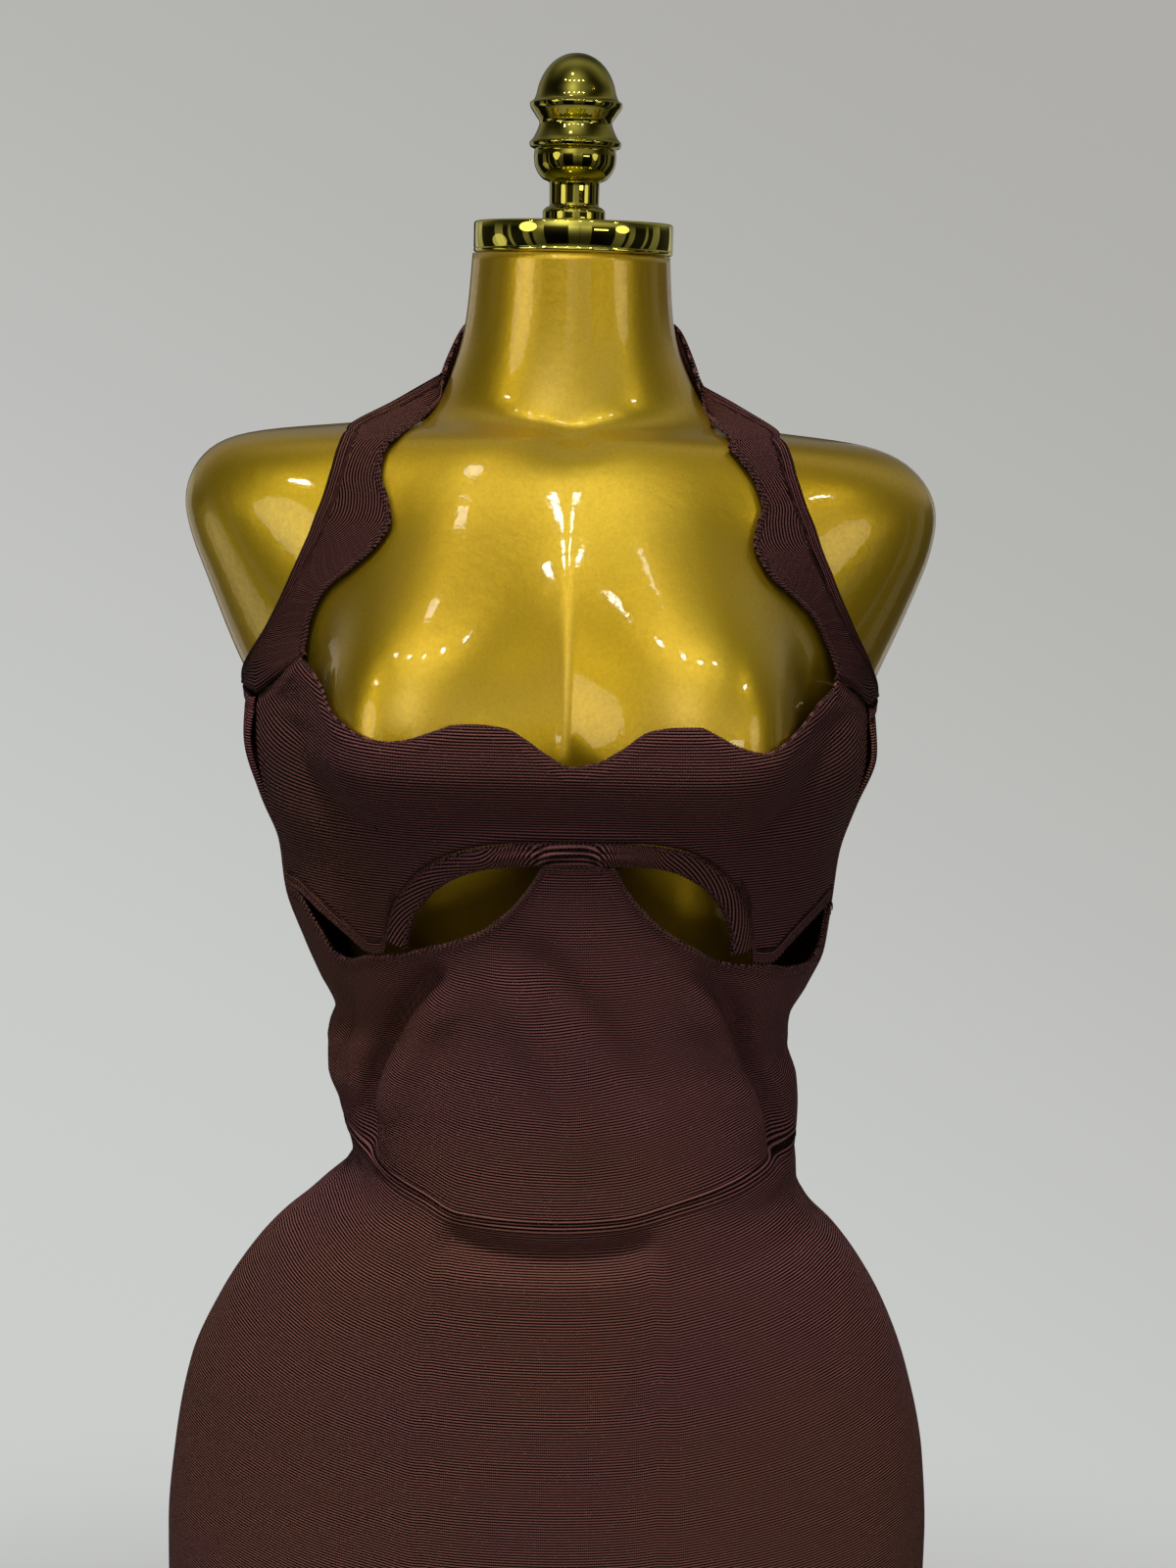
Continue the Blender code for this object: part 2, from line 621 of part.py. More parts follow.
# ------------------------------------------------------------------ dress


def front_sheet(low, high, columns, rows):
    """Points of a front panel between two edges, columns given as shares of the way to the side seams."""
    v = np.linspace(1, 0, rows)[:, None]
    z_low, z_high = low(columns)[None], high(columns)[None]
    z = z_low + (z_high - z_low) * v
    gap = SEAM / 2 / 0.14
    theta = math.radians(TURN_DEG) + columns[None] * (np.radians(side_deg(z)) - gap)
    return theta, z


def waist_z(theta):
    return edge(WAIST, np.degrees(wrapped(theta)))


def band_lines():
    """Middle line of the under-bust band and its two edges, as (angle, height)."""
    rows = np.array(BAND, float)
    t = np.arange(len(rows), dtype=float)
    fine = np.linspace(0, len(rows) - 1, 2 * len(rows) - 1)
    path = smooth_table(np.column_stack([t, rows]), fine)
    x, z = np.radians(path[:, 0]) * 0.125, path[:, 1]
    run = np.stack([np.gradient(x), np.gradient(z)], axis=-1)
    run /= np.linalg.norm(run, axis=-1, keepdims=True)
    out = np.stack([-run[:, 1], run[:, 0]], axis=-1)

    def moved(by):
        return np.degrees((x + out[:, 0] * by) / 0.125), z + out[:, 1] * by

    return path[:, 0], path[:, 1], moved


def bust_low_rows():
    """The bust panel's whole lower edge: side, tip, along the band, tip, side."""
    _, _, moved = band_lines()
    deg, z = moved(BAND_HALF + SEAM)
    keep = (deg > BUST_LOW_RIGHT[-1][0] + 0.3) & (deg < BUST_LOW_LEFT[0][0] - 0.3)
    middle = [(float(a), float(b)) for a, b in zip(deg[keep], z[keep])]
    rows = list(BUST_LOW_RIGHT) + middle + list(BUST_LOW_LEFT)
    for a, b in zip(rows, rows[1:]):
        assert b[0] > a[0], (a, b)
    return rows


def build_dress(group, knit, knit_dark):
    neck, low, top = share_of(NECKLINE), share_of(bust_low_rows()), share_of(MIDRIFF_TOP)

    # Bust panel, between the scalloped neckline and the band
    must = {-1.0, 1.0} | {s for s, _ in low[1:-1]}
    must |= {(deg - TURN_DEG) / float(side_deg(1.24)) for sign in (-1, 1) for deg in strap_corner(sign)[:-1]}
    columns = spaced(thinned(must, [s for s, _ in neck], 0.018), 0.06)
    theta, z = front_sheet(lambda s: edge(low, s), lambda s: edge(neck, s), columns, 8)
    cloth_sheet("bust_front", body_surface(theta, z), outward(body_surface, theta, z), knit, group)

    # Band under the bust, folded double, a little proud of the panels
    deg, mid, moved = band_lines()
    lines = [moved(BAND_HALF), moved(0.0), moved(-BAND_HALF)]
    theta = np.radians(np.array([d for d, _ in lines]))
    z = np.array([h for _, h in lines])
    out = outward(body_surface, theta, z)
    proud = np.array([0.0003, 0.0010, 0.0003])[:, None, None]
    cloth_sheet("arch_band", body_surface(theta, z) + out * proud, out, knit_dark, group, BAND_WALL)

    # Midriff panel, from the cut-outs down to the waist seam
    columns = spaced(thinned({-1.0, 1.0}, [s for s, _ in top], 0.012), 0.075)

    def waist_share(s):
        guess = math.radians(TURN_DEG) + s * math.radians(84.0)
        return waist_z(guess)

    theta, z = front_sheet(lambda s: waist_share(s) + SEAM / 2, lambda s: edge(top, s), columns, 8)
    cloth_sheet("midriff_front", body_surface(theta, z), outward(body_surface, theta, z), knit, group)

    # Back panel, one piece from side seam to side seam
    t = np.linspace(0, 1, 25)[None]
    v = np.linspace(1, 0, 13)[:, None]
    gap = SEAM / 2 / 0.14

    def back_theta(share, height):
        start = math.radians(TURN_DEG) + np.radians(side_deg(height)) + gap
        end = math.radians(TURN_DEG + 360) - np.radians(side_deg(height)) - gap
        return start + (end - start) * share

    high = edge(BACK_TOP, np.degrees(back_theta(t, np.full(t.shape, 1.23))))
    low_b = waist_z(back_theta(t, np.full(t.shape, 1.003))) + SEAM / 2
    z = low_b + (high - low_b) * v
    theta = back_theta(t, z)
    cloth_sheet("back_panel", back_surface(theta, z), outward(back_surface, theta, z), knit, group)

    # Skirt, front and back, from the waist seam to the hem, its front on the midriff's columns
    v = np.array(SKIRT_ROWS)[:, None]
    high = waist_share(columns)[None] - SEAM / 2
    z = high + (HEM_Z - high) * v
    theta = math.radians(TURN_DEG) + columns[None] * (np.radians(side_deg(z)) - gap)
    cloth_sheet("skirt_front", body_surface(theta, z), outward(body_surface, theta, z), knit, group)
    high = waist_z(back_theta(t, np.full(t.shape, 1.003))) - SEAM / 2
    z = high + (HEM_Z - high) * v
    theta = back_theta(t, z)
    cloth_sheet("skirt_back", body_surface(theta, z), outward(body_surface, theta, z), knit, group)

    for name, sign, table in (("strap_right", -1, STRAP_RIGHT), ("strap_left", 1, STRAP_LEFT)):
        points, out = strap_points(sign, table, neck)
        cloth_sheet(name, points, out, knit, group)


def corner_out(theta, z):
    turn = np.abs(wrapped(theta - math.radians(TURN_DEG)))
    near = np.degrees(turn) - side_deg(z)
    return CORNER_OUT * np.exp(-((near / CORNER_DEG) ** 2)) * np.exp(-(((z - CORNER_Z) / CORNER_HIGH) ** 2))


def strap_corner(sign):
    """Angles of the neckline's rows from the strap's corner out to the side seam."""
    rows = [row for row in NECKLINE if row[0] * sign > 50]
    corner = max(rows, key=lambda row: row[1])
    return sorted((row[0] for row in rows if abs(row[0]) >= abs(corner[0])), key=abs)


def strap_points(sign, table, neck):
    """Rows of a strap, each from its neck edge to its armhole edge, the first one along the panels' upper edges."""
    rows = np.array(table, float)
    rows[-1, [0, 2]] -= math.degrees(SEAM / 2 / 0.062)
    beyond = strap_corner(sign)
    share = np.linspace(0, 1, 4)
    deg = np.array([beyond[0], beyond[2], beyond[3], sign * STRAP_END_DEG])
    s = (deg - TURN_DEG) / float(side_deg(1.24))
    first_z = np.where(np.abs(s) < 1, edge(neck, s), 1.2380) + 2 * SEAM + 0.0002
    fine = np.linspace(0, len(rows) - 1, int(1.6 * len(rows)))
    body = smooth_table(np.column_stack([np.arange(len(rows)), rows]), fine)

    def across(a, b):
        return a[:, None] + (b - a)[:, None] * share

    theta = np.vstack([deg, sign * across(body[:, 2], body[:, 0])])
    theta = np.radians(theta)
    z = np.vstack([first_z, across(body[:, 3], body[:, 1])])
    reach = np.vstack([np.full(4, 0.16), across(body[:, 6], body[:, 5])])
    free = np.concatenate([[0.0], body[:, 4]])[:, None, None]
    square = outward(form_surface, theta, z)
    on_form = form_surface(theta, z) + square * STRAP_LIFT
    worn = back_surface(theta, np.minimum(z, 1.285))
    w = np.clip((z - 1.245) / 0.030, 0, 1)
    w = (w * w * (3 - 2 * w))[..., None]
    points = worn * (1 - w) + on_form * w
    points = points * (1 - free) + place(theta, z, reach) * free
    # Square to the strap itself, from its own rows
    along = np.gradient(points, axis=0)
    wide = np.gradient(points, axis=1)
    out = np.cross(wide, along) * sign
    out /= np.linalg.norm(out, axis=-1, keepdims=True)
    out[0] = outward(back_surface, theta[0], z[0])
    points, out = points[::-1], out[::-1]
    return (points[:, ::-1], out[:, ::-1]) if sign < 0 else (points, out)


# ------------------------------------------------------------------ dress form and stand


def build_form(group, paint, brass, steel):
    levels = spaced([row[0] for row in FORM], 0.030)
    steps = 44
    th = np.linspace(0, 2 * math.pi, steps, endpoint=False)
    verts = np.concatenate([place(th, np.full(steps, z), form_radius(th, np.full(steps, z))) for z in levels])
    faces = [
        (i * steps + j, i * steps + (j + 1) % steps, (i + 1) * steps + (j + 1) % steps, (i + 1) * steps + j)
        for i in range(len(levels) - 1)
        for j in range(steps)
    ]
    faces.append(tuple(range(steps - 1, -1, -1)))
    top = (len(levels) - 1) * steps
    faces.append(tuple(range(top, top + steps)))
    mesh_object("form_torso", verts, faces, paint, group)

    edge_r = 0.0012
    turned(
        "neck_cap",
        ((CAP_HIGH, 0.0), (CAP_HIGH, CAP_R - edge_r), (CAP_HIGH - 0.35 * edge_r, CAP_R - 0.35 * edge_r),
         (CAP_HIGH - edge_r, CAP_R), (CAP_LOW + edge_r, CAP_R), (CAP_LOW, CAP_R - edge_r), (CAP_LOW, 0.0)),
        36, brass, group,
    )
    turned("finial", tuple((FINIAL_LOW + h, r) for h, r in FINIAL), 20, brass, group)

    under = FORM[0][0] - SEAM
    turned(
        "form_flange",
        ((under, 0.0), (under, FLANGE_R), (under - FLANGE_T + 0.001, FLANGE_R), (under - FLANGE_T, FLANGE_R - 0.001),
         (under - FLANGE_T, 0.0)),
        24, steel, group,
    )
    pole_low, pole_high = BASE_T + SEAM, under - FLANGE_T - SEAM
    turned("stand_pole", ((pole_high, 0.0), (pole_high, POLE_R), (pole_low, POLE_R), (pole_low, 0.0)), 20, steel, group)
    c0, c1, hole = BASE_T + SEAM, BASE_T + COLLAR_H, POLE_R + SEAM
    turned(
        "stand_collar",
        ((c1, hole), (c1, hole + 0.004), (c1 - 0.002, hole + 0.006), (c0 + 0.012, hole + 0.0062),
         (c0 + 0.006, COLLAR_R - 0.004), (c0 + 0.002, COLLAR_R), (c0, COLLAR_R), (c0, hole), (c1, hole)),
        24, steel, group,
    )
    turned(
        "stand_base",
        ((BASE_T, 0.0), (BASE_T, BASE_R - 0.004), (BASE_T - 0.0012, BASE_R - 0.0012), (BASE_T - 0.004, BASE_R),
         (0.001, BASE_R), (0.0, BASE_R - 0.001), (0.0, 0.0)),
        48, steel, group,
    )


def main():
    clear_scene()
    group = collection("bodycon_dress_on_form")
    knit = material("knit", (0.062, 0.030, 0.030), 0.75)
    knit_dark = material("knit_band", (0.055, 0.026, 0.027), 0.75)
    paint = material("gold_paint", (0.52, 0.36, 0.06), 0.32, 0.6)
    brass = material("polished_brass", (0.80, 0.66, 0.28), 0.10, 1.0)
    steel = material("gold_steel", (0.70, 0.56, 0.25), 0.22, 1.0)
    build_dress(group, knit, knit_dark)
    build_form(group, paint, brass, steel)


main()
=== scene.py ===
"""Bodycon halter dress on a dress form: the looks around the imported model. Metres, +Z up, front towards -Y."""

import math

import bpy
import numpy as np
from mathutils import Matrix, Vector


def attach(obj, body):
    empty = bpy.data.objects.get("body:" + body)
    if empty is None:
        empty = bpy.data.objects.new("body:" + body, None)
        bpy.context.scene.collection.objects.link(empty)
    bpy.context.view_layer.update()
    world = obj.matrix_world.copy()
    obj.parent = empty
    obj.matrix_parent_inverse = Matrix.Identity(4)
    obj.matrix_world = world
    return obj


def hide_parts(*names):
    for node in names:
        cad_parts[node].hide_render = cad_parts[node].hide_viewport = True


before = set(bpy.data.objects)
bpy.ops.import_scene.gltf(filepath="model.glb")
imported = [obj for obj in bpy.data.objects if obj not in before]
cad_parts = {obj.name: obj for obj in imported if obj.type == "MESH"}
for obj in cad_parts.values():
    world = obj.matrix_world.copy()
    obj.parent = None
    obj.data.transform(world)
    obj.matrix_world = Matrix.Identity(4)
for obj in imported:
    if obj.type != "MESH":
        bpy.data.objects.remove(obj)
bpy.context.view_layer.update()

# ------------------------------------------------------------------ camera, as the photograph was taken
CAMERA_AT, CAMERA_DOWN_DEG, CAMERA_ROLL_DEG, CAMERA_LENS = (0.0135, -1.404, 1.416), 9.2, 1.3, 63.0

camera = bpy.data.objects.new("camera", bpy.data.cameras.new("camera"))
bpy.context.scene.collection.objects.link(camera)
camera.data.lens, camera.data.sensor_width, camera.data.sensor_fit = CAMERA_LENS, 36.0, "AUTO"
camera.data.clip_start, camera.data.clip_end = 0.05, 60.0
camera.matrix_world = (
    Matrix.Translation(CAMERA_AT)
    @ Matrix.Rotation(math.radians(90 - CAMERA_DOWN_DEG), 4, "X")
    @ Matrix.Rotation(math.radians(CAMERA_ROLL_DEG), 4, "Z")
)
bpy.context.scene.camera = camera

# ------------------------------------------------------------------ main sizes, metres
WALL = 0.0015         # knit cloth
SEAM = 0.0003         # gap kept between sewn pieces
EASE = 0.0026         # middle of the cloth off the form where it lies tight
BAND_WALL = 0.0030    # the folded band under the bust
BAND_HALF = 0.0049    # half its height
HEM_Z = 0.500         # lower edge of the skirt
TURN_DEG = 2.0        # the whole dress sits turned this much to the wearer's left
NECK_SEAM_DEG = 180.0

FORM_TOP_Z = 1.4575
CAP_R, CAP_LOW, CAP_HIGH = 0.0500, 1.4580, 1.4735
FINIAL_LOW = CAP_HIGH + SEAM
BASE_R, BASE_T = 0.160, 0.008
POLE_R = 0.0125
COLLAR_R, COLLAR_H = 0.030, 0.034
FLANGE_R, FLANGE_T = 0.045, 0.006

# Dress form, a row for each level: reach to its right and left, front and back
FORM = (
    # z      right   left    front   back    square
    (0.600, 0.1660, 0.1660, 0.0860, 0.0960, 2.00),
    (0.640, 0.1800, 0.1800, 0.0940, 0.1120, 2.00),
    (0.700, 0.1920, 0.1925, 0.1020, 0.1280, 2.00),
    (0.770, 0.1965, 0.1970, 0.1070, 0.1360, 2.00),
    (0.840, 0.1905, 0.1915, 0.1080, 0.1320, 2.00),
    (0.890, 0.1755, 0.1765, 0.1060, 0.1180, 2.00),
    (0.930, 0.1520, 0.1540, 0.1000, 0.1030, 2.00),
    (0.960, 0.1270, 0.1300, 0.0930, 0.0920, 2.00),
    (0.990, 0.0990, 0.1040, 0.0860, 0.0820, 2.00),
    (1.020, 0.0960, 0.0980, 0.0820, 0.0740, 2.00),
    (1.060, 0.1000, 0.1010, 0.0830, 0.0740, 2.10),
    (1.100, 0.1090, 0.1110, 0.0880, 0.0790, 2.10),
    (1.140, 0.1230, 0.1240, 0.0950, 0.0860, 2.10),
    (1.180, 0.1380, 0.1370, 0.1010, 0.0930, 2.10),
    (1.215, 0.1495, 0.1475, 0.1030, 0.0980, 2.10),
    (1.235, 0.1580, 0.1550, 0.1015, 0.1000, 2.10),
    (1.250, 0.1655, 0.1605, 0.0990, 0.1010, 2.10),
    (1.267, 0.1731, 0.1680, 0.0960, 0.1012, 2.10),
    (1.292, 0.1827, 0.1781, 0.0915, 0.1010, 2.15),
    (1.316, 0.1918, 0.1862, 0.0865, 0.0995, 2.20),
    (1.332, 0.1950, 0.1880, 0.0825, 0.0970, 2.25),
    (1.346, 0.1915, 0.1832, 0.0790, 0.0935, 2.25),
    (1.356, 0.1848, 0.1740, 0.0755, 0.0900, 2.25),
    (1.362, 0.1770, 0.1650, 0.0727, 0.0870, 2.20),
    (1.366, 0.1660, 0.1535, 0.0700, 0.0840, 2.15),
    (1.3685, 0.1450, 0.1330, 0.0674, 0.0805, 2.10),
    (1.371, 0.1160, 0.1050, 0.0636, 0.0765, 2.05),
    (1.374, 0.0880, 0.0850, 0.0582, 0.0730, 2.00),
    (1.378, 0.0710, 0.0720, 0.0552, 0.0690, 2.00),
    (1.386, 0.0645, 0.0658, 0.0538, 0.0645, 2.00),
    (1.396, 0.0610, 0.0610, 0.0526, 0.0605, 2.00),
    (1.410, 0.0560, 0.0545, 0.0515, 0.0565, 2.00),
    (1.428, 0.0528, 0.0508, 0.0505, 0.0535, 2.00),
    (FORM_TOP_Z, 0.0505, 0.0488, 0.0494, 0.0500, 2.00),
)
# The form's two cups: direction, how far they stand out, half width towards the middle and the side with the power
# that makes them full, height and reach below it. Above, they slope evenly from crest to top, with a rounding at each
CUP_DEG, CUP_OUT, CUP_DEG_IN, CUP_DEG_SIDE, CUP_TURN_POWER, CUP_Z, CUP_BELOW = 31.0, 0.057, 27.0, 20.5, 2.05, 1.220, 0.046
CUP_CREST, CUP_CREST_ROUND, CUP_TOP, CUP_TOP_ROUND = 0.042, 0.011, 0.124, 0.018
# The crease where they meet
VALLEY_IN, VALLEY_DEG, VALLEY_DEG_WIDE, VALLEY_DEG_ROUND, VALLEY_Z, VALLEY_HIGH = 0.0075, 1.0, 5.0, 0.9, 1.234, 0.058

# Soft dip in the front edge of the form's shoulders, below the neck
DIP_IN, DIP_DEG, DIP_DEG_WIDE, DIP_Z, DIP_HIGH = 0.0065, 1.5, 15.0, 1.3675, 0.0065

# Dress from hem to underarm, a row for each level: reach to the wearer's right and left, front and back
DRESS = (
    # z      right   left    front   back    square
    (0.480, 0.1840, 0.1850, 0.1060, 0.1100, 2.05),
    (0.600, 0.1940, 0.1950, 0.1100, 0.1200, 2.05),
    (0.700, 0.2010, 0.2018, 0.1135, 0.1345, 2.05),
    (0.785, 0.2022, 0.2030, 0.1160, 0.1415, 2.05),
    (0.830, 0.1984, 0.1999, 0.1165, 0.1400, 2.05),
    (0.875, 0.1902, 0.1901, 0.1160, 0.1310, 2.05),
    (0.907, 0.1766, 0.1784, 0.1140, 0.1210, 2.05),
    (0.936, 0.1582, 0.1622, 0.1115, 0.1100, 2.05),
    (0.952, 0.1439, 0.1502, 0.1100, 0.1030, 2.05),
    (0.969, 0.1241, 0.1338, 0.1085, 0.0960, 2.10),
    (0.982, 0.1099, 0.1272, 0.1075, 0.0910, 2.10),
    (0.994, 0.1046, 0.1262, 0.1065, 0.0880, 2.15),
    (1.010, 0.1080, 0.1240, 0.1055, 0.0860, 2.20),
    (1.026, 0.1110, 0.1245, 0.1055, 0.0860, 2.20),
    (1.042, 0.1171, 0.1235, 0.1060, 0.0860, 2.20),
    (1.058, 0.1178, 0.1190, 0.1070, 0.0870, 2.20),
    (1.073, 0.1145, 0.1205, 0.1090, 0.0890, 2.20),
    (1.092, 0.1235, 0.1302, 0.1120, 0.0920, 2.20),
    (1.110, 0.1318, 0.1378, 0.1150, 0.0950, 2.20),
    (1.135, 0.1413, 0.1408, 0.1200, 0.0980, 2.20),
    (1.160, 0.1447, 0.1434, 0.1270, 0.1000, 2.20),
    (1.185, 0.1538, 0.1501, 0.1340, 0.1020, 2.20),
    (1.212, 0.1592, 0.1565, 0.1340, 0.1040, 2.20),
    (1.245, 0.1610, 0.1560, 0.1200, 0.1050, 2.20),
    (1.290, 0.1777, 0.1725, 0.0950, 0.1050, 2.20),
)
# The back panel stands a little prouder than the front one at the underarm: height, reach, half height, half width
CORNER_Z, CORNER_OUT, CORNER_HIGH, CORNER_DEG = 1.213, 0.0045, 0.024, 14.0

# Side seams, degrees either side of the front before the turn
SIDE = (
    # z      deg
    (0.480, 90.0),
    (0.900, 90.0),
    (1.000, 84.5),
    (1.070, 78.0),
    (1.140, 75.0),
    (1.290, 75.0),
)

# Creases: depth in and half width, then three places that each passes through
FOLDS = (
    # depth   wide    deg_a  z_a     deg_b  z_b     deg_c  z_c
    (-0.0075, 0.0090, -31.5, 1.1090, -49.0, 1.0700, -58.5, 1.0160),
    (-0.0080, 0.0095, 38.0, 1.1110, 55.0, 1.0680, 69.0, 1.0140),
    (0.0028, 0.0130, -69.0, 1.0650, -72.0, 1.0430, -73.0, 1.0250),
    (0.0028, 0.0120, 76.0, 1.0450, 78.0, 1.0300, 80.0, 1.0150),
    (-0.0070, 0.0085, -26.0, 0.9720, 0.0, 0.9670, 25.0, 0.9725),
    (-0.0045, 0.0100, 140.0, 1.0450, 180.0, 1.0330, 214.0, 1.0430),
    (-0.0035, 0.0090, 152.0, 1.0750, 184.0, 1.0660, 220.0, 1.0800),
    (-0.0040, 0.0110, 150.0, 0.9750, 178.0, 0.9700, 206.0, 0.9760),
)

# Upper edge of the bust panel from the right side seam to the left one, scalloped, with a strap corner at each end
NECKLINE = (
    # deg    z
    (-73.0, 1.2366),
    (-70.9, 1.2388),
    (-61.7, 1.2504),
    (-55.8, 1.2593),
    (-54.2, 1.2616),
    (-52.5, 1.2604),
    (-45.9, 1.2517),
    (-42.2, 1.2428),
    (-36.5, 1.2363),
    (-32.1, 1.2317),
    (-29.0, 1.2302),
    (-25.5, 1.2315),
    (-21.6, 1.2354),
    (-17.5, 1.2391),
    (-14.1, 1.2393),
    (-9.5, 1.2378),
    (-5.9, 1.2328),
    (-2.0, 1.2258),
    (2.1, 1.2206),
    (6.4, 1.2227),
    (10.9, 1.2293),
    (15.7, 1.2379),
    (19.7, 1.2398),
    (23.5, 1.2402),
    (25.9, 1.2370),
    (29.2, 1.2316),
    (34.1, 1.2279),
    (38.7, 1.2311),
    (46.3, 1.2372),
    (53.2, 1.2454),
    (59.3, 1.2507),
    (60.8, 1.2542),
    (62.1, 1.2530),
    (68.2, 1.2470),
    (74.0, 1.2395),
    (77.0, 1.2362),
)
# Upper edge of the back panel, from the left side seam round behind to the right one
BACK_TOP = (
    # deg    z
    (77.0, 1.2362),
    (86.0, 1.2380),
    (120.0, 1.2360),
    (182.0, 1.2290),
    (243.0, 1.2360),
    (277.0, 1.2385),
    (287.0, 1.2366),
)
# Middle line of the band under the bust, from its right foot over to its left foot
BAND = (
    # deg    z
    (-37.4, 1.1245),
    (-36.0, 1.1335),
    (-34.4, 1.1415),
    (-31.5, 1.1505),
    (-27.1, 1.1605),
    (-21.2, 1.1686),
    (-14.8, 1.1735),
    (-7.6, 1.1758),
    (0.0, 1.1766),
    (9.0, 1.1767),
    (17.0, 1.1760),
    (23.3, 1.1737),
    (29.5, 1.1675),
    (35.2, 1.1580),
    (39.3, 1.1470),
    (42.2, 1.1345),
    (43.8, 1.1228),
)
# Lower edge of the bust panel beside the band's feet: level with the side seam, then down to a tip
BUST_LOW_RIGHT = (
    # deg    z
    (-73.0, 1.1412),
    (-65.8, 1.1407),
    (-57.4, 1.1335),
    (-50.6, 1.1251),
    (-44.7, 1.1172),
    (-41.0, 1.1180),
)
BUST_LOW_LEFT = (
    # deg    z
    (47.2, 1.1162),
    (52.0, 1.1145),
    (57.6, 1.1230),
    (64.3, 1.1312),
    (73.5, 1.1372),
    (77.0, 1.1376),
)
# Upper edge of the midriff panel: it meets the bust panel at the side seams, the band's feet and the middle
MIDRIFF_TOP = (
    # deg    z
    (-73.0, 1.1408),
    (-65.8, 1.1397),
    (-62.2, 1.1318),
    (-59.3, 1.1216),
    (-57.0, 1.1135),
    (-52.0, 1.1115),
    (-45.5, 1.1159),
    (-41.0, 1.1174),
    (-38.8, 1.1188),
    (-35.5, 1.1202),
    (-32.5, 1.1226),
    (-30.0, 1.1243),
    (-23.8, 1.1286),
    (-17.5, 1.1346),
    (-12.0, 1.1433),
    (-7.7, 1.1533),
    (-4.7, 1.1631),
    (-2.6, 1.1706),
    (4.2, 1.1713),
    (11.2, 1.1703),
    (14.6, 1.1588),
    (18.9, 1.1475),
    (24.9, 1.1360),
    (32.3, 1.1261),
    (39.4, 1.1188),
    (42.4, 1.1170),
    (46.4, 1.1155),
    (52.0, 1.1136),
    (57.9, 1.1103),
    (65.7, 1.1090),
    (71.7, 1.1144),
    (74.4, 1.1222),
    (75.4, 1.1352),
    (77.0, 1.1372),
)
# Waist seam all round, low in front
WAIST = (
    # deg     z
    (-180.0, 1.0000),
    (-130.0, 1.0050),
    (-90.0, 1.0130),
    (-72.0, 1.0112),
    (-58.0, 1.0037),
    (-48.6, 0.9970),
    (-35.4, 0.9915),
    (-24.4, 0.9853),
    (0.0, 0.9848),
    (18.1, 0.9862),
    (33.3, 0.9920),
    (49.2, 0.9974),
    (68.7, 1.0047),
    (88.0, 1.0072),
    (130.0, 1.0030),
    (180.0, 1.0000),
)
# Straps from the bust up over the shoulder and round behind the neck: armhole edge and neck edge. Up to the
# shoulder they lie on the form (free 0); from there they hang between their own edges, whose reach is given.
STRAP_RIGHT = (
    # outer_deg outer_z inner_deg inner_z free outer_reach inner_reach
    (78.0, 1.2500, 56.2, 1.2658, 0.0, 0.1620, 0.1470),
    (71.6, 1.2631, 56.6, 1.2740, 0.0, 0.1617, 0.1470),
    (67.0, 1.2771, 55.5, 1.2849, 0.0, 0.1580, 0.1440),
    (63.9, 1.2901, 53.5, 1.2936, 0.0, 0.1540, 0.1410),
    (61.9, 1.3021, 47.7, 1.3050, 0.0, 0.1500, 0.1320),
    (60.5, 1.3130, 43.9, 1.3152, 0.0, 0.1470, 0.1240),
    (59.6, 1.3239, 42.9, 1.3243, 0.0, 0.1440, 0.1190),
    (59.2, 1.3369, 46.2, 1.3367, 0.0, 0.1390, 0.1170),
    (59.5, 1.3469, 50.0, 1.3478, 0.0, 0.1350, 0.1160),
    (60.4, 1.3565, 51.5, 1.3559, 0.0, 0.1290, 0.1125),
    (62.1, 1.3640, 52.2, 1.3624, 0.0, 0.1235, 0.1080),
    (66.8, 1.3704, 52.2, 1.3672, 1.0, 0.1185, 0.1042),
    (76.3, 1.3836, 62.8, 1.3757, 1.0, 0.0895, 0.0812),
    (90.0, 1.3975, 79.4, 1.3840, 1.0, 0.0656, 0.0672),
    (104.0, 1.3985, 97.0, 1.4050, 1.0, 0.0662, 0.0620),
    (122.0, 1.4000, 114.0, 1.4235, 1.0, 0.0672, 0.0580),
    (150.0, 1.4020, 148.0, 1.4300, 1.0, 0.0668, 0.0575),
    (NECK_SEAM_DEG, 1.4040, NECK_SEAM_DEG, 1.4320, 1.0, 0.0665, 0.0575),
)
